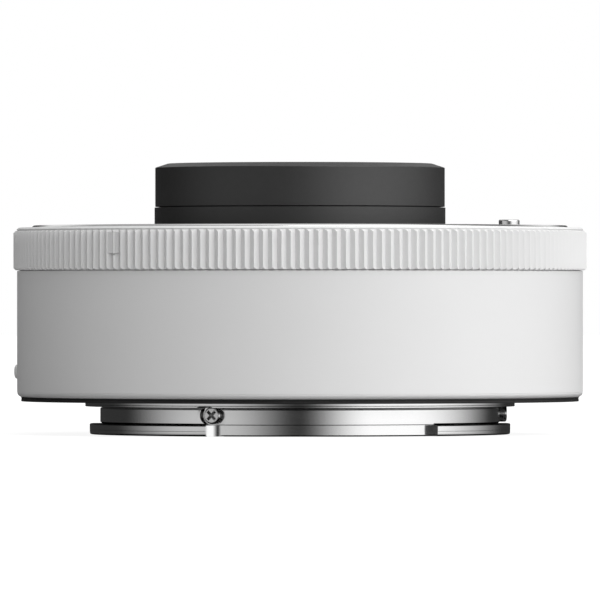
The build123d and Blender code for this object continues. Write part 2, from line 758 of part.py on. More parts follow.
def make_front_frame():
    """The black front frame: deck, gallery for the release slide and outer wall."""
    frame = turned(
        (WALL_BORE, BAFFLE_Z),
        (WALL_R, BAFFLE_Z),
        (WALL_R, DECK_Z),
        (GALLERY_R, DECK_Z),
        (GALLERY_R, WEB_TOP),
        (FRAME_R, WEB_TOP),
        (FRAME_R, DECK_TOP),
        (SLEEVE_R + FIT, DECK_TOP),
        (SLEEVE_R + FIT, LEAF_Z),
        (WALL_BORE, LEAF_Z),
    )
    frame += ring(WALL_R, THROAT_R - INNER_WALL, BAFFLE_Z - BAFFLE_THICK, BAFFLE_Z)
    for azimuth in MOUNT_SCREW_AZIMUTHS + FRAME_SCREW_AZIMUTHS:
        frame += post(azimuth, MOUNT_SCREW_R, WEB_TOP, DECK_Z)
    stop_inner = LOCK_R - SLIDE_WIDTH / 2
    stop_outer = FRAME_R - FRAME_WALL / 2
    stop_middle = (stop_inner + stop_outer) / 2
    frame += place(SPRING_STOP_AZIMUTH, stop_middle, SLIDE_Z - SPRING_TAB_DEPTH) * block(
        stop_outer - stop_inner, SPRING_TAB_THICK, SPRING_TAB_DEPTH - PLAY
    )
    for azimuth in MOUNT_SCREW_AZIMUTHS:
        frame -= place(azimuth, MOUNT_SCREW_R, FACE_Z) * tapped_hole()
    for azimuth in FRAME_SCREW_AZIMUTHS:
        frame -= place(azimuth, MOUNT_SCREW_R, WEB_Z) * Rot(180, 0, 0) * inner_screw_hole()
    pocket = disc(PIN_COLLAR_R + PLAY, DECK_Z + PIN_POCKET_FLOOR, DECK_TOP + OVERRUN)
    stem_hole = disc(PIN_STEM_R + PIN_SHAFT_PLAY, DECK_Z - OVERRUN, DECK_TOP)
    frame -= place(PIN_AZIMUTH, LOCK_R) * (pocket + stem_hole)
    return frame - arm_slot()


def make_rear_frame():
    """The black rear frame: web, hub for the lens barrel, outer wall and screw posts."""
    frame = turned(
        (HUB_BORE, WEB_Z - HUB_DEPTH),
        (HUB_R, WEB_Z - HUB_DEPTH),
        (HUB_R, WEB_Z),
        (GALLERY_R, WEB_Z),
        (GALLERY_R, REAR_FRAME_Z),
        (FRAME_R, REAR_FRAME_Z),
        (FRAME_R, WEB_TOP),
        (HUB_BORE, WEB_TOP),
    )
    for azimuth in MOUNT_SCREW_AZIMUTHS:
        frame += post(azimuth, MOUNT_SCREW_R, REAR_FRAME_Z, WEB_Z)
    for azimuth in BOARD_SCREW_AZIMUTHS:
        frame += post(azimuth, BOARD_SCREW_R, BOARD_TOP, WEB_Z)
    for azimuth in MOUNT_SCREW_AZIMUTHS:
        frame -= place(azimuth, MOUNT_SCREW_R, FLANGE_Z) * Rot(180, 0, 0) * tapped_hole()
    for azimuth in FRAME_SCREW_AZIMUTHS:
        frame -= place(azimuth, MOUNT_SCREW_R, WEB_Z) * Rot(180, 0, 0) * inner_screw_hole()
    for azimuth in BOARD_SCREW_AZIMUTHS:
        frame -= place(azimuth, BOARD_SCREW_R, BOARD_Z) * Rot(180, 0, 0) * inner_screw_hole()
    for azimuth in CELL_SCREW_AZIMUTHS:
        frame -= place(azimuth, CELL_SCREW_R, WEB_TOP + LUG_THICK) * inner_screw_hole()
    for azimuth in block_screw_azimuths():
        frame -= place(azimuth, CONTACT_R, WEB_Z) * Rot(180, 0, 0) * inner_screw_hole()
    seat = disc(CELL_SEAT_R + FIT, WEB_TOP - CELL_FLANGE_THICK, WEB_TOP + OVERRUN)
    half = degrees_along(FLEX_WIDTH / 2 + FIT, FRONT_FLEX_R)
    slot = sector(
        FRONT_FLEX_R + FLEX_THICK + PLAY,
        FRONT_FLEX_R - PLAY,
        WEB_Z - OVERRUN,
        WEB_TOP + OVERRUN,
        CONTACT_AZIMUTH - half,
        2 * half,
    )
    return frame - seat - slot


# Release mechanism
def slide_end():
    """The last azimuth of the release slide at rest."""
    return LEVER_AZIMUTH + degrees_along(LEVER_WIDTH / 2, LOCK_R)


def lever_window():
    """The window that the release lever moves in, through the grip ring and the shell."""
    half = degrees_along(LEVER_WIDTH / 2 + LEVER_PLAY, GRIP_R)
    low = lever_low() - LEVER_PLAY
    return sector(
        GRIP_R + OVERRUN,
        SHELL_BORE - FIT,
        low,
        low + LEVER_HEIGHT + 2 * LEVER_PLAY,
        LEVER_AZIMUTH - half,
        2 * half + SLIDE_TURN_ANGLE,
    )


def lever_low():
    """The lower edge of the release lever, just under the slide's arm."""
    return SLIDE_Z - PLAY


def arm_end():
    """The radius where the slide's arm ends, inside the lever."""
    return SHELL_BORE + BODY_WALL / 3


def arm_slot():
    """The slot in the frame's outer wall for the slide's arm."""
    half = degrees_along(LEVER_WIDTH / 2 + LEVER_PLAY, GRIP_R)
    return sector(
        FRAME_R + OVERRUN,
        GALLERY_R - OVERRUN,
        SLIDE_Z - LEVER_PLAY,
        SLIDE_TOP + LEVER_PLAY,
        LEVER_AZIMUTH - half,
        2 * half + SLIDE_TURN_ANGLE,
    )


def make_release_slide():
    """The steel slide in the gallery: a curved strip, an arm, a fork with a ramp and a tab."""
    inner, outer = LOCK_R - SLIDE_WIDTH / 2, LOCK_R + SLIDE_WIDTH / 2
    strip = sector(outer, inner, SLIDE_Z, SLIDE_TOP, SLIDE_START_AZIMUTH, slide_end() - SLIDE_START_AZIMUTH)
    half = degrees_along(LEVER_WIDTH / 2, GRIP_R)
    strip += sector(arm_end(), LOCK_R, SLIDE_Z, SLIDE_TOP, LEVER_AZIMUTH - half, 2 * half)
    travel = LOCK_R * math.radians(SLIDE_TURN_ANGLE)
    slope = PIN_TRAVEL / travel
    lead = CROSS_PIN_R + PLAY
    profile = make_face(
        Polyline(
            (0, lead, SLIDE_Z),
            (0, lead, SLIDE_Z - FIT),
            (0, 0, SLIDE_Z - FIT),
            (0, -travel - lead, SLIDE_Z - FIT - (travel + lead) * slope),
            (0, -travel - lead, SLIDE_Z),
            close=True,
        )
    )
    ramp = place(PIN_AZIMUTH, LOCK_R) * extrude(profile, SLIDE_WIDTH / 2 - FIT, both=True)
    strip += ramp
    tab = place(SPRING_TAB_AZIMUTH, LOCK_R, SLIDE_Z - SPRING_TAB_DEPTH) * block(
        SLIDE_WIDTH, SPRING_TAB_THICK, SPRING_TAB_DEPTH
    )
    strip += tab
    fork_half = PIN_STEM_R + PLAY
    start = PIN_AZIMUTH - SLIDE_TURN_ANGLE
    slot_low = SLIDE_Z - PIN_TRAVEL - OVERRUN
    slot = sector(
        LOCK_R + fork_half, LOCK_R - fork_half, slot_low, SLIDE_TOP + OVERRUN, start, SLIDE_TURN_ANGLE
    )
    for azimuth in (PIN_AZIMUTH, start):
        slot += place(azimuth, LOCK_R) * disc(fork_half, slot_low, SLIDE_TOP + OVERRUN)
    return strip - slot


def make_release_lever():
    """The white finger piece, with upright ridges, that stands on the slide's arm."""
    half = degrees_along(LEVER_WIDTH / 2, GRIP_R)
    low = lever_low()
    inner = SHELL_BORE + FIT
    lever = sector(GRIP_R, inner, low, low + LEVER_HEIGHT, LEVER_AZIMUTH - half, 2 * half)
    step = LEVER_WIDTH / LEVER_RIDGES
    for index in range(LEVER_RIDGES):
        along = degrees_along(step * (index + 0.5) - LEVER_WIDTH / 2, GRIP_R)
        lever += place(LEVER_AZIMUTH + along, GRIP_R, low) * block(
            2 * LEVER_PROUD, step / 2, LEVER_HEIGHT
        )
    wide = degrees_along(LEVER_WIDTH / 2 + OVERRUN, GRIP_R)
    return lever - sector(
        arm_end() + FIT,
        inner - OVERRUN,
        SLIDE_Z - FIT,
        SLIDE_TOP + FIT,
        LEVER_AZIMUTH - wide,
        2 * wide,
    )


def make_lock_pin():
    """The stepped lock pin: round nose, collar for the spring and a thin stem."""
    nose = PIN_R / 3
    top = FACE_Z + PIN_RISE
    collar_top = PLATE_Z - PLAY / 2
    stem_low = cross_pin_height() - 2 * CROSS_PIN_R
    pin = turned(
        (0, stem_low),
        (PIN_STEM_R, stem_low),
        (PIN_STEM_R, collar_top - PIN_COLLAR_HEIGHT),
        (PIN_COLLAR_R, collar_top - PIN_COLLAR_HEIGHT),
        (PIN_COLLAR_R, collar_top),
        (PIN_R, collar_top),
        (PIN_R, top - nose),
        (PIN_R - nose, top),
        (0, top),
    )
    pin = place(PIN_AZIMUTH, LOCK_R) * pin
    return pin - cross_pin_solid(CROSS_PIN_R)


def cross_pin_height():
    """The height of the cross pin's axis at rest, under the slide's ramp."""
    return SLIDE_Z - 2 * FIT - PLAY / 2 - CROSS_PIN_R


def cross_pin_solid(radius):
    """The cross pin through the stem, pointing outwards."""
    middle = place(PIN_AZIMUTH, LOCK_R - CROSS_PIN_LENGTH / 2, cross_pin_height())
    return middle * Rot(0, 90, 0) * disc(radius, 0, CROSS_PIN_LENGTH)


def make_lock_cross_pin():
    """The pin that the slide's ramp pushes down."""
    return cross_pin_solid(CROSS_PIN_R)


def make_lock_pin_spring():
    """The spring that lifts the lock pin."""
    low = DECK_Z + PIN_POCKET_FLOOR
    high = PLATE_Z - PLAY / 2 - PIN_COLLAR_HEIGHT
    radius = (PIN_STEM_R + PIN_COLLAR_R + PLAY) / 2
    spring = coil(radius, SPRING_WIRE_R, high - low, PIN_SPRING_TURNS)
    return place(PIN_AZIMUTH, LOCK_R, low) * spring


def make_release_spring():
    """The spring that pushes the slide back, between its tab and the frame's stop."""
    half_tab = degrees_along(SPRING_TAB_THICK / 2, LOCK_R)
    start = math.radians(SPRING_TAB_AZIMUTH + half_tab)
    end = math.radians(SPRING_STOP_AZIMUTH - half_tab)
    length = 2 * LOCK_R * math.sin((end - start) / 2)
    middle = (SPRING_TAB_AZIMUTH + SPRING_STOP_AZIMUTH) / 2
    spring = coil(RELEASE_SPRING_R, SPRING_WIRE_R, length, RELEASE_SPRING_TURNS)
    height = SLIDE_Z - SPRING_TAB_DEPTH / 2
    seat = place(middle, LOCK_R * math.cos((end - start) / 2), height)
    return seat * Rot(-90, 0, 0) * Pos(0, 0, -length / 2) * spring


# Front contacts
def block_screw_azimuths():
    """The azimuths of the two screws in the contact block's legs."""
    start, span = contact_span()
    half = degrees_along(CONTACT_LEG / 2, CONTACT_R)
    return (start + half, start + span - half)


def contact_stem_low():
    """The lower ends of the contact pins, just below their block."""
    return CONTACT_Z - CONTACT_TAIL


def make_front_contact_block():
    """The black arc that guides the ten sprung contact pins."""
    start, span = contact_span()
    body = sector(CONTACT_BLOCK_R, CONTACT_BLOCK_BORE, CONTACT_Z, CONTACT_TOP, start, span)
    leg = degrees_along(CONTACT_LEG, CONTACT_R)
    for azimuth in (start, start + span - leg):
        body += sector(CONTACT_BLOCK_R, CONTACT_BLOCK_BORE, WEB_TOP, CONTACT_Z, azimuth, leg)
    for azimuth in block_screw_azimuths():
        body -= place(azimuth, CONTACT_R, WEB_Z) * Rot(180, 0, 0) * inner_screw_hole()
    chamber_top = CONTACT_TOP - CONTACT_ROOF
    for azimuth in contact_azimuths():
        hole = bar_hole(CONTACT_PIN_R + PIN_SHAFT_PLAY, CONTACT_Z, CONTACT_TOP + OVERRUN)
        chamber = bar_hole(CONTACT_COLLAR_R + PLAY, CONTACT_Z - OVERRUN, chamber_top)
        body -= place(azimuth, CONTACT_R) * (hole + chamber)
    return body


def make_contact_pins():
    """Ten gold pins that a lens's flat contacts press down, until they are level."""
    collar_top = CONTACT_TOP - CONTACT_ROOF - FIT
    tip = CONTACT_TOP + CONTACT_TRAVEL + FIT
    stem = bar(CONTACT_PIN_R, contact_stem_low(), tip)
    stem = chamfer(stem.faces().sort_by(Axis.Z)[-1].edges(), CONTACT_PIN_R / 2)
    pin = stem + bar(CONTACT_COLLAR_R, collar_top - CONTACT_COLLAR_HEIGHT, collar_top)
    return Compound([place(azimuth, CONTACT_R) * pin for azimuth in contact_azimuths()])


def make_contact_spring():
    """The comb of thin leaves that lifts the contact pins."""
    start, span = contact_span()
    leg = degrees_along(CONTACT_LEG + PLAY, CONTACT_R)
    start, span = start + leg, span - 2 * leg
    top = contact_stem_low()
    low = top - CONTACT_LEAF_THICK
    comb = sector(CONTACT_BLOCK_R, CONTACT_R + CONTACT_COLLAR_R, low, CONTACT_Z, start, span)
    for azimuth in contact_azimuths():
        comb += place(azimuth, CONTACT_R + CONTACT_COLLAR_R / 2, low) * block(
            CONTACT_COLLAR_R * 3, CONTACT_PIN_R * 2, CONTACT_LEAF_THICK
        )
    return comb


# Board and flexible leads
def make_circuit_board():
    """The curved circuit board under the web."""
    board = sector(BOARD_R, BOARD_BORE, BOARD_Z, BOARD_TOP, BOARD_START_AZIMUTH, BOARD_SPAN_ANGLE)
    for azimuth in MOUNT_SCREW_AZIMUTHS:
        board -= place(azimuth, MOUNT_SCREW_R) * bar_hole(
            POST_R + PLAY, BOARD_Z - OVERRUN, BOARD_TOP + OVERRUN
        )
    for azimuth in BOARD_SCREW_AZIMUTHS:
        board -= place(azimuth, BOARD_SCREW_R, BOARD_Z) * Rot(180, 0, 0) * inner_screw_hole()
    return board


def make_board_chips():
    """The chips and connectors on the rear face of the board."""
    return Compound(
        [
            place(azimuth, BOARD_SCREW_R, BOARD_Z - CHIP_THICK) * block(length, width, CHIP_THICK)
            for azimuth, length, width in CHIP_PLACES
        ]
    )


def make_board_screws():
    """The three screws of the circuit board."""
    return Compound(
        [
            place(azimuth, BOARD_SCREW_R, BOARD_Z) * Rot(180, 0, 0) * inner_screw()
            for azimuth in BOARD_SCREW_AZIMUTHS
        ]
    )


def flex(radius, low, high, low_end, high_end):
    """A flexible lead: an upright strip between two feet, which end at the given radii."""
    half = degrees_along(FLEX_WIDTH / 2, radius)
    start, span = CONTACT_AZIMUTH - half, 2 * half
    outer = radius + FLEX_THICK
    strip = sector(outer, radius, low, high, start, span)
    for end, z in ((low_end, low), (high_end, high - FLEX_THICK)):
        strip += sector(max(end, outer), min(end, radius), z, z + FLEX_THICK, start, span)
    return strip


def make_front_flex():
    """The lead from the front contacts' comb, through the web, to the board."""
    top = contact_stem_low()
    return flex(FRONT_FLEX_R, BOARD_TOP, top, FRONT_FLEX_R + FLEX_FOOT, CONTACT_BLOCK_R)


def make_rear_flex():
    """The lead from the board to the rear contact block."""
    low = REAR_BLOCK_LIFT + REAR_BLOCK_HEIGHT
    return flex(CONTACT_R, low, BOARD_Z, CONTACT_R - FLEX_FOOT / 2, CONTACT_R + FLEX_FOOT)


# Lens barrel and optics
def make_front_cell():
    """The black front cell: collar outside, ledge and bores inside, three lugs on the web."""
    slope = LEDGE_WIDTH / 3
    cell = turned(
        (SECOND_BORE, WEB_TOP),
        (COLLAR_R, WEB_TOP),
        (COLLAR_R, COLLAR_TOP),
        (COLLAR_BORE, COLLAR_TOP),
        (COLLAR_BORE, SPIGOT_Z - FIT),
        (FRONT_BORE, SPIGOT_Z - FIT),
        (FRONT_BORE, FRONT_SEAT_Z),
        (SECOND_BORE - LEDGE_WIDTH, FRONT_SEAT_Z),
        (SECOND_BORE - LEDGE_WIDTH, SECOND_GLASS_TOP + slope),
        (SECOND_BORE, SECOND_GLASS_TOP),
    )
    half = degrees_along(LUG_WIDTH / 2, CELL_SCREW_R)
    for azimuth in CELL_SCREW_AZIMUTHS:
        lug_top = WEB_TOP + LUG_THICK
        cell += sector(
            CELL_FLANGE_R, COLLAR_BORE, WEB_TOP, lug_top, azimuth - half, 2 * half
        )
        cell -= place(azimuth, CELL_SCREW_R, lug_top) * inner_screw_hole()
    return cell


def make_cell_screws():
    """The three screws that clamp the lens barrel to the web."""
    return Compound(
        [
            place(azimuth, CELL_SCREW_R, WEB_TOP + LUG_THICK) * inner_screw()
            for azimuth in CELL_SCREW_AZIMUTHS
        ]
    )


def make_frame_screws():
    """The four screws that join the rear frame to the front frame."""
    return Compound(
        [
            place(azimuth, MOUNT_SCREW_R, WEB_Z) * Rot(180, 0, 0) * inner_screw()
            for azimuth in FRAME_SCREW_AZIMUTHS
        ]
    )


def make_contact_block_screws():
    """The two screws that hold the front contact block to the web."""
    return Compound(
        [
            place(azimuth, CONTACT_R, WEB_Z) * Rot(180, 0, 0) * inner_screw()
            for azimuth in block_screw_azimuths()
        ]
    )


def make_front_hood():
    """The black hood in front of the first glass, with light traps in its bore."""
    trap_low = FRONT_GLASS_TOP + FRONT_RETAINER_HEIGHT
    trap_high = HOOD_TOP - HOOD_CHAMFER_HEIGHT
    step = (trap_high - trap_low) / TRAP_COUNT
    corners = [
        (HOOD_BORE, SPIGOT_Z),
        (SPIGOT_R, SPIGOT_Z),
        (SPIGOT_R, HOOD_Z),
        (HOOD_R, HOOD_Z),
        (HOOD_R, HOOD_TOP - HOOD_CHAMFER_HEIGHT),
        (HOOD_R - HOOD_CHAMFER_WIDTH, HOOD_TOP),
        (HOOD_BORE + TRAP_DEPTH, HOOD_TOP),
    ]
    for index in range(TRAP_COUNT):
        z = trap_high - step * index
        corners.append((HOOD_BORE, z))
        corners.append((HOOD_BORE + TRAP_DEPTH, z - step / 2))
    corners.append((HOOD_BORE, trap_low))
    return turned(*corners)


def make_rear_cell():
    """The black rear cell: flange on top, bore for three groups, ledge at the rear."""
    slope = LEDGE_WIDTH / 3
    return turned(
        (REAR_BORE, WEB_TOP),
        (CELL_SEAT_R, WEB_TOP),
        (CELL_SEAT_R, WEB_TOP - CELL_FLANGE_THICK),
        (REAR_CELL_R, WEB_TOP - CELL_FLANGE_THICK),
        (REAR_CELL_R, REAR_CELL_Z),
        (REAR_BORE - LEDGE_WIDTH, REAR_CELL_Z),
        (REAR_BORE - LEDGE_WIDTH, REAR_GLASS_LOW - slope),
        (REAR_BORE, REAR_GLASS_LOW),
    )


def retainer(outer, glass_r, low, height):
    """A retaining ring, with its underside sloped to clear the glass."""
    return turned(
        (glass_r, low),
        (outer, low),
        (outer, low + height),
        (glass_r - SPACER_WALL, low + height),
        (glass_r - SPACER_WALL, low + height / 2),
    )


def make_front_retainer():
    """The ring that holds the front group, threaded in the hood's bore."""
    return retainer(
        HOOD_BORE - FIT, FRONT_GLASS_R, FRONT_GLASS_TOP, FRONT_RETAINER_HEIGHT
    )


def make_middle_retainer():
    """The ring that closes the rear cell's stack of glass."""
    return retainer(REAR_BORE - FIT, REAR_GLASS_R, MIDDLE_GLASS_TOP, RETAINER_HEIGHT)


def make_front_spacer():
    """The tube under the second group."""
    return ring(SECOND_BORE - FIT, SECOND_GLASS_R - SPACER_WALL, WEB_TOP, SECOND_GLASS_LOW)


def make_middle_spacer():
    """The ring between the middle group and the fourth group."""
    return ring(
        REAR_BORE - FIT, REAR_GLASS_R - SPACER_WALL, FOURTH_GLASS_TOP, MIDDLE_GLASS_LOW
    )


def make_rear_spacer():
    """The ring between the fourth group and the rear group."""
    return ring(
        REAR_BORE - FIT, REAR_GLASS_R - SPACER_WALL, REAR_GLASS_TOP, FOURTH_GLASS_LOW
    )


def make_rear_mask():
    """The thin black plate with a rectangular opening behind the last glass."""
    radius = REAR_CELL_R - FIT
    plate = disc(radius, REAR_CELL_Z - MASK_THICK, REAR_CELL_Z)
    bore = REAR_BORE - LEDGE_WIDTH
    opening = Rectangle(2 * bore * MASK_WIDTH_SHARE, 2 * bore * MASK_HEIGHT_SHARE)
    cut = extrude(fillet(opening.vertices(), MASK_CORNER), MASK_THICK + 2 * OVERRUN)
    return plate - Pos(0, 0, REAR_CELL_Z - MASK_THICK - OVERRUN) * cut


def make_lens_1():
    """The front element, cemented to the second."""
    low = FRONT_GLASS_TOP - FRONT_GLASS_EDGE[0]
    return glass(
        FRONT_GLASS_R, low, FRONT_GLASS_TOP, FRONT_GLASS_RISE[0], FRONT_GLASS_RISE[1]
    )


def make_lens_2():
    """The second element of the front group."""
    high = FRONT_GLASS_TOP - FRONT_GLASS_EDGE[0] - CEMENT
    return glass(
        FRONT_GLASS_R, FRONT_SEAT_Z, high, -FRONT_GLASS_RISE[1], FRONT_GLASS_RISE[2]
    )


def make_lens_3():
    """The single element of the second group."""
    return glass(SECOND_GLASS_R, SECOND_GLASS_LOW, SECOND_GLASS_TOP, *SECOND_GLASS_RISE)


def make_lens_4():
    """The upper element of the middle group."""
    low = MIDDLE_GLASS_TOP - MIDDLE_GLASS_EDGE[0]
    return glass(
        REAR_GLASS_R, low, MIDDLE_GLASS_TOP, MIDDLE_GLASS_RISE[0], MIDDLE_GLASS_RISE[1]
    )


def make_lens_5():
    """The lower element of the middle group."""
    high = MIDDLE_GLASS_TOP - MIDDLE_GLASS_EDGE[0] - CEMENT
    return glass(
        REAR_GLASS_R, MIDDLE_GLASS_LOW, high, -MIDDLE_GLASS_RISE[1], MIDDLE_GLASS_RISE[2]
    )


def make_lens_6():
    """The single element of the fourth group."""
    return glass(REAR_GLASS_R, FOURTH_GLASS_LOW, FOURTH_GLASS_TOP, *FOURTH_GLASS_RISE)


def make_lens_7():
    """The upper element of the rear group."""
    low = REAR_GLASS_TOP - REAR_GLASS_EDGE[0]
    return glass(REAR_GLASS_R, low, REAR_GLASS_TOP, REAR_GLASS_RISE[0], REAR_GLASS_RISE[1])


def make_lens_8():
    """The last element, which faces the camera."""
    high = REAR_GLASS_TOP - REAR_GLASS_EDGE[0] - CEMENT
    return glass(REAR_GLASS_R, REAR_GLASS_LOW, high, -REAR_GLASS_RISE[1], REAR_GLASS_RISE[2])


PARTS = {
    "rear_mount": make_rear_mount,
    "neck_screws": make_neck_screws,
    "rear_mount_screws": make_rear_mount_screws,
    "rear_shim": make_rear_shim,
    "rear_seal": make_rear_seal,
    "rear_trim_ring": make_rear_trim_ring,
    "rear_baffle": make_rear_baffle,
    "rear_contact_block": make_rear_contact_block,
    "rear_contact_pads": make_rear_contact_pads,
    "main_barrel": make_main_barrel,
    "grip_ring": make_grip_ring,
    "front_rim": make_front_rim,
    "index_dot": make_index_dot,
    "front_mount": make_front_mount,
    "front_mount_screws": make_front_mount_screws,
    "front_leaf_spring": make_front_leaf_spring,
    "front_gasket": make_front_gasket,
    "front_light_shield": make_front_light_shield,
    "front_frame": make_front_frame,
    "rear_frame": make_rear_frame,
    "release_slide": make_release_slide,
    "release_lever": make_release_lever,
    "lock_pin": make_lock_pin,
    "lock_cross_pin": make_lock_cross_pin,
    "lock_pin_spring": make_lock_pin_spring,
    "release_spring": make_release_spring,
    "front_contact_block": make_front_contact_block,
    "contact_pins": make_contact_pins,
    "contact_spring": make_contact_spring,
    "contact_block_screws": make_contact_block_screws,
    "circuit_board": make_circuit_board,
    "board_chips": make_board_chips,
    "board_screws": make_board_screws,
    "front_flex": make_front_flex,
    "rear_flex": make_rear_flex,
    "frame_screws": make_frame_screws,
    "front_cell": make_front_cell,
    "cell_screws": make_cell_screws,
    "front_hood": make_front_hood,
    "rear_cell": make_rear_cell,
    "front_retainer": make_front_retainer,
    "middle_retainer": make_middle_retainer,
    "front_spacer": make_front_spacer,
    "middle_spacer": make_middle_spacer,
    "rear_spacer": make_rear_spacer,
    "rear_mask": make_rear_mask,
    "lens_1": make_lens_1,
    "lens_2": make_lens_2,
    "lens_3": make_lens_3,
    "lens_4": make_lens_4,
    "lens_5": make_lens_5,
    "lens_6": make_lens_6,
    "lens_7": make_lens_7,
    "lens_8": make_lens_8,
}

os.makedirs("parts", exist_ok=True)
for name, make in PARTS.items():
    export_step(make(), f"parts/{name}.step")
print(len(PARTS), "nodes")
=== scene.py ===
# %% [markdown]
# # A short teleconverter on a white studio table
#
# A teleconverter sits between a camera and a long lens. This one is a white painted ring of metal with
# a chrome bayonet at each end and a black tube that reaches into the lens. The construction comes from
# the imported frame, in metres, and this script only dresses it. So the first step is to load the frame
# and to keep its box, because nothing that we add may reach outside it.

# %% Load the frame
import json
import math

import bmesh
import bpy
from mathutils import Matrix, Vector


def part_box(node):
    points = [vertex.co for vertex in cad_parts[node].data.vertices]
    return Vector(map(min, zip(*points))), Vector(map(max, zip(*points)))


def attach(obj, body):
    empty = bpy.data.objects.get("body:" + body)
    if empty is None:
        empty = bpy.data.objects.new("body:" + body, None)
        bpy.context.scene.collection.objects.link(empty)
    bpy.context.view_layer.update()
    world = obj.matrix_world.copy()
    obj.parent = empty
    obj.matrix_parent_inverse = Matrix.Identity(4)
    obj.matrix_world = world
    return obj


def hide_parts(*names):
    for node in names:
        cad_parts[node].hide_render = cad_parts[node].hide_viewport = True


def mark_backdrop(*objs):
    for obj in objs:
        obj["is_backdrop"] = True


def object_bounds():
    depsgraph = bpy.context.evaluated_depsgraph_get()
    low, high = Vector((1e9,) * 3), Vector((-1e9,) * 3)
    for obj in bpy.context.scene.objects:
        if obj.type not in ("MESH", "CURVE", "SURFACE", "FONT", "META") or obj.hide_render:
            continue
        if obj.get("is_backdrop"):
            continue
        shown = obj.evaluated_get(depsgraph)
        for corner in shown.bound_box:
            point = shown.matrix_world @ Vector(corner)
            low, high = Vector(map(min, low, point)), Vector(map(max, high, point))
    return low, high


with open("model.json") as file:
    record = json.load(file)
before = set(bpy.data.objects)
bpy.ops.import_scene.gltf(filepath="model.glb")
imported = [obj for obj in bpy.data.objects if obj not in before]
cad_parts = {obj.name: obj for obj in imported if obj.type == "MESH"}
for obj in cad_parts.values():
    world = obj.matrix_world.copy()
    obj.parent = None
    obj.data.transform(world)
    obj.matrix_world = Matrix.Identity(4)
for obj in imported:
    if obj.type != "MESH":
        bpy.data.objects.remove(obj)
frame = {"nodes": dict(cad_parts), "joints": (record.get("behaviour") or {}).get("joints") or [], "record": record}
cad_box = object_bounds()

# %% [markdown]
# ## Measures
#
# Sizes are written in millimetres and turned into metres here. Where a size belongs to a node of the
# frame, we read it from that node's box, so that a new pack needs no edit. An azimuth is in degrees
# from the front of the picture (-Y), and grows towards +X and on to the back.

# %% Measures and places
MM = 0.001
TURN_STEPS = 256
EDGE = 0.06 * MM
OVERLAP = 0.5 * MM
WELD = 0.0001 * MM
DEGREE = math.pi / 180


def reach(node):
    """How far a round node reaches from the optical axis."""
    low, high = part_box(node)
    return (high.x - low.x) / 2


def low_z(node):
    """The lowest height of a node."""
    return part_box(node)[0].z


def high_z(node):
    """The highest height of a node."""
    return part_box(node)[1].z


def mm(*points):
    """Points in millimetres, turned into metres."""
    return [tuple(value * MM for value in point) for point in points]


def place(azimuth, radius=0.0, height=0.0):
    """The place at this azimuth, radius and height, whose X points outwards."""
    turn = Matrix.Rotation(math.radians(azimuth - 90), 4, "Z")
    return turn @ Matrix.Translation((radius, 0, height))


OUTWARDS = Matrix.Rotation(math.radians(90), 4, "Y")


print("ribs reach", round(reach("grip_ring") / MM, 2), "mm")
print("height", round(high_z("front_hood") / MM, 2), "mm")

# %% [markdown]
# ## Turning on a lathe
#
# Almost every piece here was turned on a lathe, so one function does the same: it takes the outline of
# a cut through the wall, as (radius, height) points, and turns it about the axis. A real edge is never
# sharp, because it is broken by a file or by the coat of paint. A second function replaces each corner
# of the outline by a short curve, which is where the thin bright lines along edges come from. We could
# have used the Screw modifier, but plain mesh code lets us close the poles and part turns in one place.

# %% Outlines, lathe and prism
CORNER_STEPS = 3


def rounded(corners, radius=EDGE):
    """A closed outline with each corner replaced by a short curve."""
    points = []
    for index, corner in enumerate(corners):
        corner = Vector(corner)
        if corner.x == 0:
            points.append(corner)
            continue
        before = Vector(corners[index - 1]) - corner
        after = Vector(corners[(index + 1) % len(corners)]) - corner
        room = min(radius, before.length / 3, after.length / 3)
        start = corner + before.normalized() * room
        end = corner + after.normalized() * room
        for step in range(CORNER_STEPS + 1):
            share = step / CORNER_STEPS
            bend = corner * 2 * share * (1 - share)
            points.append(start * (1 - share) ** 2 + bend + end * share**2)
    return points


def new_piece(name, mesh):
    """An object at the origin from a bmesh, with its faces turned outwards."""
    bmesh.ops.remove_doubles(mesh, verts=mesh.verts, dist=WELD)
    bmesh.ops.recalc_face_normals(mesh, faces=mesh.faces)
    data = bpy.data.meshes.new(name)
    mesh.to_mesh(data)
    mesh.free()
    piece = bpy.data.objects.new(name, data)
    bpy.context.scene.collection.objects.link(piece)
    return piece


def lathe(name, outline, start=0.0, span=360.0, steps=TURN_STEPS):
    """A closed outline turned about the optical axis, from one azimuth over a span."""
    mesh = bmesh.new()
    whole = span == 360.0
    count = steps if whole else max(2, round(steps * span / 360)) + 1
    rows = []
    for index in range(count):
        share = index / (count if whole else count - 1)
        turn = math.radians(start - 90 + span * share)
        rows.append([mesh.verts.new((r * math.cos(turn), r * math.sin(turn), z)) for r, z in outline])
    for row, following in zip(rows, rows[1:] + ([rows[0]] if whole else [])):
        for index, vertex in enumerate(row):
            ahead = (index + 1) % len(row)
            mesh.faces.new((vertex, following[index], following[ahead], row[ahead]))
    if not whole:
        mesh.faces.new(rows[0])
        mesh.faces.new(list(reversed(rows[-1])))
    return new_piece(name, mesh)


def prism(name, outline, low, high, top_scale=1.0):
    """A flat outline pulled up along Z, and grown or drawn in at the top."""
    mesh = bmesh.new()
    bottom = [mesh.verts.new((x, y, low)) for x, y in outline]
    top = [mesh.verts.new((x * top_scale, y * top_scale, high)) for x, y in outline]
    mesh.faces.new(bottom)
    mesh.faces.new(list(reversed(top)))
    for index in range(len(outline)):
        ahead = (index + 1) % len(outline)
        mesh.faces.new((bottom[index], bottom[ahead], top[ahead], top[index]))
    return new_piece(name, mesh)


print("each full turn takes", TURN_STEPS, "steps")

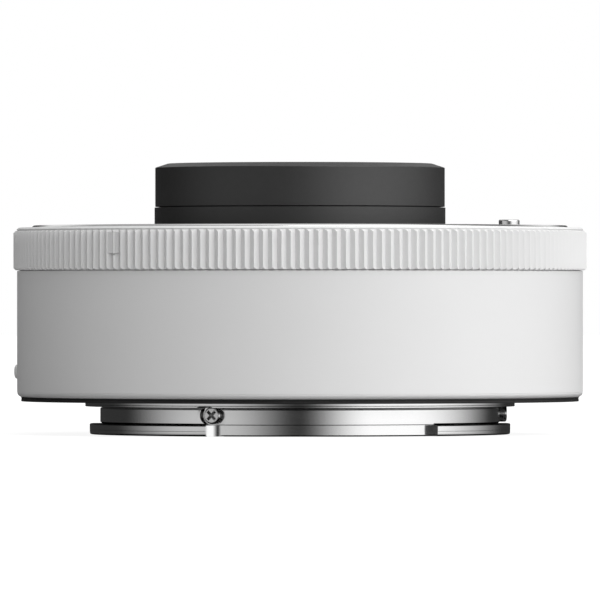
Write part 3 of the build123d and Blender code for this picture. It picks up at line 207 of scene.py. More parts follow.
# %% [markdown]
# ## Cutting, joining and smoothing
#
# Holes, pockets and windows are cut with the Boolean modifier, as a mill would cut them after the lathe.
# Each modifier is applied at once by reading the evaluated mesh back, so a piece stays a plain mesh at
# the origin. At the end a piece is shaded smooth, its sharp edges are kept, and Weighted Normal keeps
# the wide faces flat beside the small rounded edges.

# %% Mesh helpers
SHARP_ANGLE = 35.0
DOME_SHARP_ANGLE = 50.0


def settle(piece):
    """Turn the evaluated piece into a plain mesh and drop its modifiers."""
    bpy.context.view_layer.update()
    evaluated = piece.evaluated_get(bpy.context.evaluated_depsgraph_get())
    data = bpy.data.meshes.new_from_object(evaluated)
    piece.modifiers.clear()
    piece.data = data
    return piece


def combine(piece, tool, operation):
    """Cut a piece with a tool, or join them, and drop the tool."""
    step = piece.modifiers.new("combine", "BOOLEAN")
    step.object = tool
    step.operation = operation
    step.solver = "EXACT"
    settle(piece)
    bpy.data.objects.remove(tool)
    return piece


def soften(piece, angle=SHARP_ANGLE):
    """Smooth shading that keeps sharp edges sharp and wide faces flat."""
    piece.data.shade_smooth()
    piece.data.set_sharp_from_angle(angle=math.radians(angle))
    step = piece.modifiers.new("weighted", "WEIGHTED_NORMAL")
    step.keep_sharp = True
    return settle(piece)


def moved(piece, matrix):
    """Move the mesh itself, so that the object stays at the origin."""
    piece.data.transform(matrix)
    return piece


def cut(piece, *tools):
    """Take the tools away from a piece, one after the other."""
    for tool in tools:
        combine(piece, tool, "DIFFERENCE")
    return piece


def gather(name, *pieces):
    """One piece from several separate ones."""
    mesh = bmesh.new()
    for piece in pieces:
        mesh.from_mesh(piece.data)
        bpy.data.objects.remove(piece)
    return new_piece(name, mesh)


def bar(radius, low, high, matrix, steps=40):
    """A round bar along the Z of a place, for cutting holes."""
    return moved(lathe("bar", [(0, low), (radius, low), (radius, high), (0, high)], steps=steps), matrix)


print("edges under", SHARP_ANGLE, "degrees are shaded smooth")

# %% [markdown]
# ## Writing nodes as sums
#
# A material or a geometry tree is easier to read as a formula than as a list of links. The Socket class
# wraps one output of a node. When two of them are added or multiplied in Python, the matching Math node
# is made. Every other node comes from one method, which takes the node's type, its settings and the
# values or links of its sockets. The same two classes serve shaders, the world and Geometry Nodes.

# %% Sockets and nodes
class Socket:
    """A node's output, which Python's operators turn into Math nodes."""

    def __init__(self, nodes, socket):
        self.nodes = nodes
        self.socket = socket

    def math(self, operation, *values):
        sockets = dict(enumerate((self,) + values))
        return self.nodes.add("ShaderNodeMath", {"operation": operation}, sockets)[0]

    def __add__(self, other):
        return self.math("ADD", other)

    def __sub__(self, other):
        return self.math("SUBTRACT", other)

    def __mul__(self, other):
        return self.math("MULTIPLY", other)

    def __truediv__(self, other):
        return self.math("DIVIDE", other)

    def __pow__(self, other):
        return self.math("POWER", other)

    def __rsub__(self, other):
        return self.nodes.value_math("SUBTRACT", other, self)

    def __rtruediv__(self, other):
        return self.nodes.value_math("DIVIDE", other, self)

    __radd__ = __add__
    __rmul__ = __mul__


class Made:
    """A node that was just made. Its outputs are read by name or by number."""

    def __init__(self, nodes, node):
        self.nodes = nodes
        self.node = node

    def __getitem__(self, key):
        return Socket(self.nodes, self.node.outputs[key])


class Nodes:
    """Makes and links the nodes of one tree."""

    def __init__(self, tree):
        self.tree = tree

    def add(self, kind, settings=None, sockets=None):
        """Make a node, change its settings, and then fill or link its sockets."""
        node = self.tree.nodes.new(kind)
        for name, value in (settings or {}).items():
            setattr(node, name, value)
        for key, value in (sockets or {}).items():
            if isinstance(value, Socket):
                self.tree.links.new(value.socket, node.inputs[key])
            else:
                node.inputs[key].default_value = value
        return Made(self, node)

    def value_math(self, operation, first, second):
        """A Math node whose first value is a plain number."""
        return self.add("ShaderNodeMath", {"operation": operation}, {0: first, 1: second})[0]

    def ramp(self, value, low, high):
        """A soft step from 0 at low to 1 at high; low may lie above high."""
        sockets = {"Value": value, "From Min": low, "From Max": high}
        return self.add("ShaderNodeMapRange", {"interpolation_type": "SMOOTHSTEP"}, sockets)["Result"]

    def window(self, value, low, high, low_soft, high_soft):
        """1 between low and high, with a soft edge outside each."""
        return self.ramp(value, low - low_soft, low) * self.ramp(value, high + high_soft, high)


print("shader maths ready")

# %% [markdown]
# ## The paint, metal and rubber
#
# The photo is neutral: the white has no tint, and neither have the chrome and the black. What tells the
# finishes apart is how they take the light. White enamel is satin, with a faint orange peel that only
# shows where it meets a highlight. Chrome over turned brass keeps the fine rings of the lathe, so its
# bump follows the radius and the height and nothing else. Black anodising and black paint differ in
# grain. Each finish below is one function with the sizes of its grain in millimetres.

# %% Finish helpers
class Finish(Nodes):
    """A material with one Principled shader, whose patterns lie on the piece's own coordinates."""

    def __init__(self, name):
        self.material = bpy.data.materials.new(name)
        self.material.use_nodes = True
        super().__init__(self.material.node_tree)
        self.tree.nodes.clear()
        self.point = self.add("ShaderNodeTexCoord")["Object"]

    def noise(self, size_mm, detail=2.0, point=None):
        """Soft noise whose patches are about this many millimetres across, from 0 to 1."""
        sockets = {"Vector": point or self.point, "Scale": 1 / (size_mm * MM), "Detail": detail}
        return self.add("ShaderNodeTexNoise", None, sockets)["Fac"]

    def rings(self, pitch_mm):
        """Fine lines that a lathe leaves: noise that changes with radius and height alone."""
        parts = self.add("ShaderNodeSeparateXYZ", None, {0: self.point})
        across = (parts["X"] * parts["X"] + parts["Y"] * parts["Y"]) ** 0.5
        flat = self.add("ShaderNodeCombineXYZ", None, {"X": across, "Z": parts["Z"]})[0]
        return self.noise(pitch_mm, 3.0, flat)

    def streaks(self, size_mm):
        """Fine level streaks, ten times as long as they are high."""
        parts = self.add("ShaderNodeSeparateXYZ", None, {0: self.point})
        sockets = {"X": parts["X"] * 0.1, "Y": parts["Y"] * 0.1, "Z": parts["Z"]}
        return self.noise(size_mm, 3.0, self.add("ShaderNodeCombineXYZ", None, sockets)[0])

    def bump(self, height, depth_mm, before=None):
        """A Bump node for a height from 0 to 1 that stands for this depth."""
        sockets = {"Height": height, "Distance": depth_mm * MM, "Strength": 1.0}
        if before:
            sockets["Normal"] = before
        return self.add("ShaderNodeBump", None, sockets)["Normal"]

    def tint(self, factor, low, high):
        """A colour between two greys or colours."""
        sockets = {0: factor, 6: (*low, 1), 7: (*high, 1)}
        return self.add("ShaderNodeMix", {"data_type": "RGBA"}, sockets)[2]

    def close(self, **sockets):
        """Link the Principled shader to the output and return the material."""
        named = {key.replace("_", " "): value for key, value in sockets.items()}
        shader = self.add("ShaderNodeBsdfPrincipled", None, named)
        self.add("ShaderNodeOutputMaterial", None, {"Surface": shader["BSDF"]})
        return self.material


def grey(level):
    """A neutral colour."""
    return (level, level, level)


def enamel(name, level, roughness, peel_mm=0.55, grain_mm=0.07, brushed=0.0):
    """Satin enamel with a faint orange peel, a finer grain and perhaps the brushed metal's streaks."""
    finish = Finish(name)
    cloud = finish.noise(9.0)
    peel = finish.bump(finish.noise(peel_mm), 0.0016)
    if brushed:
        peel = finish.bump(finish.streaks(0.16), brushed, before=peel)
    grain = finish.bump(finish.noise(grain_mm), 0.0011, before=peel)
    return finish.close(
        Base_Color=finish.tint(cloud, grey(level * 0.985), grey(level * 1.01)),
        Roughness=roughness + (finish.noise(1.7) - 0.5) * 0.05,
        Normal=grain,
    )


def turned_metal(name, level, roughness, pitch_mm=0.06, depth_mm=0.0007, colour=None):
    """Plated metal that keeps the rings of the lathe, a little cloudy from handling."""
    finish = Finish(name)
    low, high = (grey(level * 0.94), grey(level)) if colour is None else colour
    cloud = finish.noise(2.4, 3.0)
    return finish.close(
        Base_Color=finish.tint(cloud, low, high),
        Metallic=1.0,
        Roughness=roughness + (cloud - 0.5) * 0.08 + (finish.rings(pitch_mm * 4) - 0.5) * 0.06,
        Normal=finish.bump(finish.rings(pitch_mm), depth_mm),
    )


def black_coat(name, level, roughness, grain_mm=0.09, depth_mm=0.003, sheen=0.5):
    """Black anodising or paint with a fine even grain."""
    finish = Finish(name)
    cloud = finish.noise(3.0)
    return finish.close(
        Base_Color=finish.tint(cloud, grey(level * 0.85), grey(level * 1.15)),
        Roughness=roughness + (finish.noise(0.6) - 0.5) * 0.1,
        Specular_IOR_Level=sheen,
        Normal=finish.bump(finish.noise(grain_mm), depth_mm),
    )


def tinted_plastic(name, low, high, roughness, grain_mm=0.12):
    """Moulded plastic or film in one colour with a soft mottle."""
    finish = Finish(name)
    return finish.close(
        Base_Color=finish.tint(finish.noise(0.8), low, high),
        Roughness=roughness + (finish.noise(0.5) - 0.5) * 0.08,
        Normal=finish.bump(finish.noise(grain_mm), 0.002),
    )


def coated_glass(name):
    """Optical glass with a thin coating that tints its reflection."""
    finish = Finish(name)
    haze = finish.noise(4.0)
    return finish.close(
        Base_Color=(0.96, 0.98, 0.97, 1),
        Roughness=0.004 + haze * 0.006,
        Transmission_Weight=1.0,
        IOR=1.6,
        Thin_Film_Thickness=110.0,
        Thin_Film_IOR=1.38,
    )


print("finish helpers ready")

# %% [markdown]
# ## One finish for each slot
#
# The record gives every node a material slot. The table below gives every slot its finish, and the CAD
# nodes that stay visible take theirs from it. Only the value on a node's material slot is changed: the
# mesh of a CAD node is never touched.

# %% Make the finishes
GOLD = ((0.80, 0.56, 0.22), (0.90, 0.67, 0.31))
BRASS = ((0.62, 0.46, 0.20), (0.72, 0.56, 0.28))

FINISHES = {
    "body_white": enamel("white_enamel", 0.80, 0.46, brushed=0.005),
    "grip_white": enamel("ribbed_enamel", 0.80, 0.44),
    "rim_white": enamel("rim_enamel", 0.82, 0.42),
    "lever_white": enamel("lever_enamel", 0.79, 0.42),
    "dot_white": enamel("dot_enamel", 0.84, 0.30),
    "mount_chrome": turned_metal("satin_chrome", 0.79, 0.17),
    "pin_chrome": turned_metal("polished_pin", 0.74, 0.16),
    "screw_steel": turned_metal("screw_plating", 0.70, 0.24, 0.05),
    "spring_steel": turned_metal("spring_strip", 0.55, 0.30, 0.05),
    "shim_brass": turned_metal("shim_sheet", 0.6, 0.3, colour=BRASS),
    "contact_gold": turned_metal("gold_contacts", 0.8, 0.2, 0.04, colour=GOLD),
    "trim_black": black_coat("trim_paint", 0.016, 0.5, sheen=0.3),
    "hood_black": black_coat("hood_paint", 0.007, 0.5, sheen=0.85),
    "cell_black": black_coat("cell_anodising", 0.006, 0.5, sheen=0.85),
    "frame_black": black_coat("frame_anodising", 0.020, 0.5),
    "retainer_black": black_coat("retainer_anodising", 0.018, 0.5),
    "baffle_black": black_coat("baffle_matt", 0.010, 0.75, 0.05, 0.006),
    "mask_black": black_coat("mask_matt", 0.008, 0.7),
    "contact_plastic": black_coat("contact_moulding", 0.016, 0.45, 0.07),
    "seal_rubber": black_coat("seal_rubber", 0.022, 0.65, 0.2, 0.004),
    "chip_black": black_coat("chip_moulding", 0.02, 0.5),
    "board_green": tinted_plastic("board_mask", (0.012, 0.07, 0.03), (0.02, 0.11, 0.045), 0.35),
    "flex_amber": tinted_plastic("flex_film", (0.32, 0.14, 0.02), (0.42, 0.2, 0.04), 0.3),
    "lens_glass": coated_glass("coated_glass"),
}

SLOT_OF = {entry["node"]: entry["material_slot"] for entry in frame["record"]["subparts"]}
for node, piece in frame["nodes"].items():
    for holder in piece.material_slots:
        holder.material = FINISHES[SLOT_OF[node]]
print(len(FINISHES), "finishes on", len(SLOT_OF), "nodes")

# %% [markdown]
# ## Handing a piece over
#
# A finished piece gets the one finish of its slot and a body to ride on, and the CAD nodes that it
# replaces are hidden. One function does all three, so that no piece can miss one of them.

# %% Fit a finished piece
def fit(piece, body, slot, *nodes):
    """Coat a finished piece with its slot's finish, let it ride on its body and hide the CAD nodes it replaces."""
    piece.data.materials.clear()
    piece.data.materials.append(FINISHES[slot])
    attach(piece, body)
    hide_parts(*nodes)
    print(piece.name, len(piece.data.polygons), "faces")


# %% [markdown]
# ## Geometry Nodes for what repeats
#
# Screws, pins and ribs repeat round the axis. A Geometry Nodes tree does that with a few named inputs,
# and one tree can serve many pieces. The class below makes a tree with its inputs, and runs it on a
# piece: the inputs are set by each socket's identifier, the result is turned into a plain mesh, and the
# modifier goes, so that what is left is an ordinary piece.

# %% A tree class and the ring of copies
class GeometryTree(Nodes):
    """A Geometry Nodes tree with named inputs that ends in one geometry output."""

    KINDS = {int: "NodeSocketInt", float: "NodeSocketFloat", tuple: "NodeSocketVector"}

    def __init__(self, name, inputs):
        super().__init__(bpy.data.node_groups.new(name, "GeometryNodeTree"))
        face = self.tree.interface
        face.new_socket("Geometry", in_out="INPUT", socket_type="NodeSocketGeometry")
        self.keys = {}
        for label, value in inputs.items():
            kind = self.KINDS.get(type(value), "NodeSocketMaterial")
            self.keys[label] = face.new_socket(label, in_out="INPUT", socket_type=kind).identifier
        face.new_socket("Geometry", in_out="OUTPUT", socket_type="NodeSocketGeometry")
        self.given = self.add("NodeGroupInput")
        self.inputs = inputs

    def end(self, geometry):
        """Realize the copies, give them the material and close the tree."""
        real = self.add("GeometryNodeRealizeInstances", None, {"Geometry": geometry})
        sockets = {"Geometry": real["Geometry"], "Material": self.given["Material"]}
        coated = self.add("GeometryNodeSetMaterial", None, sockets)
        self.add("NodeGroupOutput", None, {"Geometry": coated["Geometry"]})

    def run(self, piece, **values):
        """Run the tree on a piece and leave a plain mesh."""
        modifier = piece.modifiers.new(self.tree.name, "NODES")
        modifier.node_group = self.tree
        for label, key in self.keys.items():
            modifier[key] = values.get(label.replace(" ", "_"), self.inputs[label])
        return settle(piece)


def ring_of_copies():
    """A tree that sets copies round the optical axis, each turned by chance about its own axis."""
    tree = GeometryTree(
        "ring_of_copies",
        {"Count": 3, "Radius": 0.02, "Height": 0.0, "Start": 0.0, "Step": 120.0,
         "Own axis": (0.0, 0.0, 1.0), "Seed": 3, "Material": None},
    )
    given = tree.given
    points = tree.add("GeometryNodePoints", None, {"Count": given["Count"]})
    copies = tree.add(
        "GeometryNodeInstanceOnPoints", None, {"Points": points[0], "Instance": given["Geometry"]}
    )
    index = tree.add("GeometryNodeInputIndex")[0]
    any_turn = tree.add(
        "FunctionNodeRandomValue", {"data_type": "FLOAT"},
        {2: 0.0, 3: 2 * math.pi, "ID": index, "Seed": given["Seed"]},
    )[1]
    chance = any_turn * index.math("MINIMUM", 1.0)
    spin = tree.add("ShaderNodeVectorMath", {"operation": "SCALE"}, {0: given["Own axis"], "Scale": chance})
    spun = tree.add(
        "GeometryNodeRotateInstances", None, {"Instances": copies["Instances"], "Rotation": spin["Vector"]}
    )
    offset = tree.add("ShaderNodeCombineXYZ", None, {"X": given["Radius"], "Z": given["Height"]})
    set_out = tree.add(
        "GeometryNodeTranslateInstances", None,
        {"Instances": spun["Instances"], "Translation": offset[0], "Local Space": False},
    )
    angle = (given["Start"] + given["Step"] * index - 90.0) * DEGREE
    turn = tree.add("ShaderNodeCombineXYZ", None, {"Z": angle})
    placed = tree.add(
        "GeometryNodeRotateInstances", None,
        {"Instances": set_out["Instances"], "Rotation": turn[0], "Local Space": False},
    )
    tree.end(placed["Instances"])
    return tree


COPIES = ring_of_copies()
print("ring of copies has", len(COPIES.tree.nodes), "nodes")

# %% [markdown]
# ## The ribs of the grip ring
#
# The grip ring is cut all round with 200 sharp grooves, and its two ends are turned down after that, so
# the crests end early and each end is a row of teeth. A ring of 200 instances would leave hidden walls
# inside. Here the whole ring is one sheet instead: a flat grid is rolled up, and each of its points is
# sent to a radius and a height by its column and row. Five columns make one rib: a root, a point part
# of the way up each side, and the two sides of a narrow crest. The points part of the way up are where
# the chamfer at each end runs out, which gives the slanted tips. Seven rows go once round the wall:
# bore, end, chamfer, chamfer, end, bore and back.

# %% The tree for the ribs
RIBS = 200
RIB_DEPTH = 0.42 * MM
RIB_CHAMFER = 0.23 * MM
RIB_COLUMNS = 5
CREST_HALF_SHARE = 0.02
ROW_COUNT = 7


def rib_tree():
    """A tree that rolls a grid into a closed ring with ribs."""
    tree = GeometryTree(
        "rolled_ribs",
        {"Ribs": RIBS, "Crest radius": 0.03, "Depth": RIB_DEPTH, "Bore": 0.028, "Low": 0.0, "High": 0.004,
         "Chamfer": RIB_CHAMFER, "Crest half share": CREST_HALF_SHARE, "Material": None},
    )
    given = tree.given
    columns = given["Ribs"] * RIB_COLUMNS
    rows = ROW_COUNT - 1
    grid = tree.add(
        "GeometryNodeMeshGrid", None,
        {"Size X": columns, "Size Y": rows, "Vertices X": columns + 1, "Vertices Y": ROW_COUNT},
    )
    spot = tree.add("ShaderNodeSeparateXYZ", None, {0: tree.add("GeometryNodeInputPosition")[0]})
    column = (spot["X"] + columns * 0.5).math("ROUND")
    row = (spot["Y"] + rows / 2).math("ROUND")
    kind = column.math("FLOORED_MODULO", float(RIB_COLUMNS))
    low, high, bore, chamfer = given["Low"], given["High"], given["Bore"], given["Chamfer"]
    crest, half = given["Crest radius"], given["Crest half share"]
    run_out = 0.5 - 0.5 * chamfer / given["Depth"]

    def pick(index, values):
        """The value that belongs to this index."""
        switch = tree.add("GeometryNodeIndexSwitch", {"data_type": "FLOAT"}, {"Index": index})
        while len(switch.node.index_switch_items) < len(values):
            switch.node.index_switch_items.new()
        for number, value in enumerate(values):
            tree.tree.links.new(value.socket, switch.node.inputs[number + 1])
        return switch[0]

    phase = pick(kind, [kind * 0.0, run_out, 0.5 - half, half + 0.5, 1.0 - run_out])
    outer = pick(kind, [crest - given["Depth"], crest - chamfer, crest, crest, crest - chamfer])
    angle = ((column / float(RIB_COLUMNS)).math("FLOOR") + phase + 0.5) * (2 * math.pi) / given["Ribs"]
    end = outer.math("MINIMUM", crest - chamfer)
    radius = pick(row, [bore, end, outer, outer, end, bore, bore])
    height = pick(row, [low, low, low + chamfer, high - chamfer, high, high, low])
    rolled = tree.add(
        "ShaderNodeCombineXYZ", None,
        {"X": radius * angle.math("COSINE"), "Y": radius * angle.math("SINE"), "Z": height},
    )
    bent = tree.add("GeometryNodeSetPosition", None, {"Geometry": grid["Mesh"], "Position": rolled[0]})
    sockets = {"Geometry": bent["Geometry"], "Distance": WELD}
    joined = tree.add("GeometryNodeMergeByDistance", None, sockets)
    tree.end(joined["Geometry"])
    return tree


RIBS_TREE = rib_tree()
print("the rib tree has", len(RIBS_TREE.tree.nodes), "nodes")

# %% [markdown]
# ## The grip ring
#
# The tree gives the plain ribbed ring. A sunk flat land stands where the index mark is, with a thin slot
# below it, and the release lever needs a window in the rim. The land is joined and the slot and the
# window are cut, because they break the pattern in one place only.

# %% Grip ring
GRIP_LAP = 0.4 * MM
INDEX_AZIMUTH = -39.95
INDEX_WIDTH = 1.5 * MM
INDEX_HEIGHT = 2.25 * MM
INDEX_SUNK = 0.07 * MM
SLOT_WIDTH_SHARE = 0.45
SLOT_TOP = 0.06 * MM
SLOT_BOTTOM = 0.22 * MM
LEVER_AZIMUTH = 117.0
LEVER_ROOM = 0.15 * MM
LEVER_PLAY = 1.0
RIB_SHARP_ANGLE = 10.0


def sector(name, outer, inner, low, high, start, span):
    """A plain piece of a ring, for cutting and joining."""
    return lathe(name, [(inner, low), (outer, low), (outer, high), (inner, high)], start, span)


def lever_window():
    """The room that the release lever moves in."""
    low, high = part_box("release_lever")
    radius = reach("grip_ring")
    half = math.degrees((high.y - low.y) / 2 / radius) + LEVER_PLAY
    turn = next(joint["range_deg"][1] for joint in frame["joints"] if joint["name"] == "release_turn")
    return sector(
        "window", radius + OVERLAP, reach("main_barrel") - 3 * OVERLAP,
        low.z - LEVER_ROOM, high.z + LEVER_ROOM, LEVER_AZIMUTH - half, 2 * half + turn,
    )


def outward(piece):
    """Split the twisted faces at the chamfers' edges and turn all faces outwards."""
    mesh = bmesh.new()
    mesh.from_mesh(piece.data)
    bmesh.ops.triangulate(mesh, faces=mesh.faces[:], quad_method="LONG_EDGE")
    bmesh.ops.recalc_face_normals(mesh, faces=mesh.faces)
    mesh.to_mesh(piece.data)
    mesh.free()
    return piece


grip_crest = reach("grip_ring")
grip_bore = reach("main_barrel") - GRIP_LAP
grip_ring = new_piece("ribbed_grip", bmesh.new())
RIBS_TREE.run(
    grip_ring, Crest_radius=grip_crest, Bore=grip_bore, Low=low_z("grip_ring"), High=high_z("grip_ring"),
    Material=FINISHES["grip_white"],
)
outward(grip_ring)
land_top = high_z("grip_ring") - RIB_CHAMFER
land_low = land_top - INDEX_HEIGHT
land_span = math.degrees(INDEX_WIDTH / grip_crest)
land_start = INDEX_AZIMUTH - land_span / 2
land = sector("land", grip_crest - INDEX_SUNK, grip_bore + EDGE, land_low, land_top, land_start, land_span)
combine(grip_ring, land, "UNION")
slot_span = SLOT_WIDTH_SHARE * land_span
slot = sector(
    "slot", grip_crest + EDGE, grip_crest - RIB_DEPTH, land_low - SLOT_BOTTOM, land_low - SLOT_TOP,
    INDEX_AZIMUTH - slot_span / 2, slot_span,
)
cut(grip_ring, slot, lever_window())
soften(grip_ring, RIB_SHARP_ANGLE)
fit(grip_ring, "converter", "grip_white", "grip_ring")

# %% [markdown]
# ## The white barrel, its rim and its dot
#
# The barrel is a plain ring of enamelled metal. Its rear edge is rounded off below one fine turned
# line, so the light falls off softly before the black ring begins. The thin rim above the ribs sits in
# a shallow groove, with white metal behind it, so the groove stays light. The alignment dot is a small
# pressed-in dome.

# %% Barrel, front rim and index dot
BODY_R = reach("main_barrel")
SHELL_BORE = 29.5 * MM
DOT_AZIMUTH = -90.0
DOT_HEIGHT = 6.8 * MM
DOT_DEPTH = 0.65 * MM
DOT_HOLE_R = 0.79 * MM
RIM_BORE = 29.25 * MM
RIM_GROOVE = 0.07 * MM


def body_outline():
    """The cut through the barrel's wall."""
    low, high = low_z("main_barrel"), high_z("main_barrel")
    grip = low_z("grip_ring")
    return [
        (SHELL_BORE, low),
        (BODY_R - 0.40 * MM, low),
        (BODY_R - 0.23 * MM, low + 0.10 * MM),
        (BODY_R - 0.11 * MM, low + 0.22 * MM),
        (BODY_R - 0.045 * MM, low + 0.35 * MM),
        (BODY_R - 0.02 * MM, low + 0.47 * MM),
        (BODY_R - 0.045 * MM, low + 0.50 * MM),
        (BODY_R, low + 0.54 * MM),
        (BODY_R, grip - 0.09 * MM),
        (BODY_R - 0.3 * MM, grip - 0.03 * MM),
        (BODY_R - 0.45 * MM, grip),
        (BODY_R - 0.45 * MM, high),
        (SHELL_BORE, high),
    ]


def dot_outline():
    """Half of the dot's section: a short pin with a domed face."""
    return mm((0, 0), (0.78, 0), (0.78, 0.66), (0.72, 0.80), (0.58, 0.90), (0.34, 0.96), (0, 0.98))


barrel = lathe("barrel_shell", rounded(body_outline(), 0.05 * MM))
dot_place = place(DOT_AZIMUTH, BODY_R - DOT_DEPTH, DOT_HEIGHT) @ OUTWARDS
cut(barrel, lever_window(), bar(DOT_HOLE_R, 0, 2 * MM, dot_place))
fit(soften(barrel), "converter", "body_white", "main_barrel")

rim_low, rim_high = low_z("front_rim"), high_z("front_rim")
rim_outer = reach("front_rim")
rim_outline = [
    (RIM_BORE, high_z("grip_ring")),
    (rim_outer - RIM_GROOVE, high_z("grip_ring")),
    (rim_outer - RIM_GROOVE, rim_low),
    (rim_outer, rim_low),
    (rim_outer, rim_low + 0.05 * MM),
    (rim_outer - 0.24 * MM, rim_high),
    (RIM_BORE, rim_high),
]
fit(soften(lathe("rim_band", rounded(rim_outline, 0.03 * MM))), "converter", "rim_white", "front_rim")

dot = soften(moved(lathe("alignment_dot", dot_outline(), steps=48), dot_place), DOME_SHARP_ANGLE)
fit(dot, "converter", "dot_white", "index_dot")

# %% [markdown]
# ## The rear bayonet
#
# This is the piece with the most machining. One turned ring carries a flange, a low boss that centres
# it in the camera, and a neck. Three tabs stand out at its end. Each tab's ends show the round mill that
# cleared the way beside it, but for one end that is square, and each screw in the neck lies in a short
# milled pocket that bites into the boss. The turned body comes from the lathe, the tabs are sectors of a
# second outline, and the mills and the pockets are cut with bars. A shallow undercut above each tab, and
# fine steps along the boss and the tabs, give the thin lines in the photo.

# %% Rear mount
TAB_SPANS = ((-98.0, 71.8, False), (41.3, 56.7, True), (152.0, 60.0, False))
SQUARE_LEAD = 1.1
TAB_R = 22.9 * MM
NECK_R = 21.75 * MM
FLANGE_Z = 3.65 * MM
MILL_R = 1.75 * MM
MILL_CIRCLE = NECK_R - 0.05 * MM + MILL_R
NECK_SCREW_AZIMUTHS = (-24.8, 95.2, 215.2)
NECK_SCREW_HEIGHT = 2.25 * MM
NECK_SEAT = NECK_R - 0.45 * MM
POCKET_R = 1.0 * MM
POCKET_TURNS = (-0.1, -1.1, -2.1)
NECK_HOLE_R = 0.55 * MM
MOUNT_SCREW_R = 25.58 * MM
MOUNT_SCREW_AZIMUTHS = (40.0, 140.0, 220.0, 320.0)
SCREW_HEAD_ROOM = 1.23 * MM
SCREW_HEAD_DEPTH = 0.75 * MM
LOCK_AZIMUTH = 58.5
LOCK_R = 26.38 * MM
LOCK_HOLE_R = 1.22 * MM
UNDERCUT = mm((22.6, 1.18), (21.5, 1.18), (21.75, 1.37), (22.6, 1.37))


def turned_mount():
    """Flange, boss and neck."""
    corners = mm(
        (20.15, 0.0), (21.62, 0.0), (21.71, 0.04), (21.75, 0.13), (21.75, 1.20), (21.70, 1.23),
        (21.75, 1.26), (21.75, 2.82), (21.45, 3.04), (23.35, 3.04), (23.38, 3.07), (23.38, 3.22),
        (23.37, 3.24), (23.37, 3.27), (23.38, 3.29), (23.38, 3.58), (23.45, 3.65), (27.70, 3.65),
        (27.70, 5.15), (20.15, 5.15),
    )
    return lathe("bayonet", rounded(corners, 0.03 * MM))


def tab(start, span, square_start):
    """One tab, with the run-out of a round mill at its ends, or a square face at its start."""
    corners = mm(
        (20.5, 0.0), (22.70, 0.0), (22.81, 0.04), (22.87, 0.15), (22.9, 0.48), (22.87, 0.50),
        (22.9, 0.53), (22.9, 1.07), (22.86, 1.15), (22.78, 1.18), (20.5, 1.18),
    )
    out = math.degrees(math.sqrt(MILL_R**2 - (MILL_CIRCLE - TAB_R) ** 2) / TAB_R)
    before = SQUARE_LEAD if square_start else out
    piece = lathe("tab", rounded(corners, 0.05 * MM), start - before, span + before + out)
    mills = [start + span + out] if square_start else [start - out, start + span + out]
    for azimuth in mills:
        cut(piece, bar(MILL_R, -MM, 3 * MM, place(azimuth, MILL_CIRCLE)))
    return piece


mount = turned_mount()
for start, span, _ in TAB_SPANS:
    cut(mount, lathe("undercut", UNDERCUT, start, span))
for azimuth in NECK_SCREW_AZIMUTHS:
    seat = place(azimuth, NECK_SEAT, NECK_SCREW_HEIGHT) @ OUTWARDS
    for offset in POCKET_TURNS:
        cut(mount, bar(POCKET_R, 0, 3 * MM, Matrix.Rotation(math.radians(offset), 4, "Z") @ seat))
    cut(mount, bar(NECK_HOLE_R, -2 * MM, MM, seat))
for azimuth in MOUNT_SCREW_AZIMUTHS:
    cut(mount, bar(SCREW_HEAD_ROOM, -MM, SCREW_HEAD_DEPTH, place(azimuth, MOUNT_SCREW_R, FLANGE_Z)))
cut(mount, bar(LOCK_HOLE_R, -MM, 3 * MM, place(LOCK_AZIMUTH, LOCK_R, FLANGE_Z)))
mount = gather("rear_bayonet", mount, *[tab(*span) for span in TAB_SPANS])
fit(soften(mount), "converter", "mount_chrome", "rear_mount")

# %% [markdown]
# ## The front bayonet
#
# The front plate takes the lens. Its outer edge is broken by a wide chamfer, which catches the light
# from above all the way round. Below the plate's opening a sleeve carries three claws, which pull the
# lens's own tabs against the plate. The plate is cut for its four screws and for the lock pin.

# %% Front mount
CLAW_STARTS = (70.0, 190.0, 310.0)
CLAW_SPAN = 50.0
PIN_ROOM = 1.19 * MM


def front_plate():
    """Plate and sleeve in one turned outline."""
    corners = mm(
        (23.50, 22.62), (23.50, 21.92), (23.02, 21.92), (23.02, 20.35), (24.52, 20.35), (24.52, 21.45),
        (29.20, 21.45), (29.20, 22.50), (29.00, 22.70), (23.58, 22.70),
    )
    return lathe("front_plate", rounded(corners, 0.04 * MM))


def claw(start):
    """One inner claw."""
    corners = mm(
        (23.1, 20.35), (23.1, 21.92), (21.92, 21.92), (21.87, 21.87), (21.87, 20.5), (22.0, 20.35),
    )
    return lathe("claw", rounded(corners, 0.04 * MM), start, CLAW_SPAN)


front = front_plate()
front_face = high_z("front_mount")
for azimuth in MOUNT_SCREW_AZIMUTHS:
    cut(front, bar(SCREW_HEAD_ROOM, -SCREW_HEAD_DEPTH, MM, place(azimuth, MOUNT_SCREW_R, front_face)))
cut(front, bar(PIN_ROOM, -3 * MM, MM, place(LOCK_AZIMUTH, LOCK_R, front_face)))
front = gather("front_bayonet", front, *[claw(start) for start in CLAW_STARTS])
fit(soften(front), "converter", "mount_chrome", "front_mount")

# %% [markdown]
# ## Screws
#
# The neck screws are small pan heads with a blunt cross, and the four screws in each mount are flat
# heads that finish level with the metal. One screw of each kind is turned on the lathe and gets its
# cross from a tapered prism. The ring of copies then sets them out. Real screws never stop at the same
# angle, so each copy but the first is turned by chance.

# %% Neck screws and mount screws
CROSS_BOTTOM_SHARE = 0.8


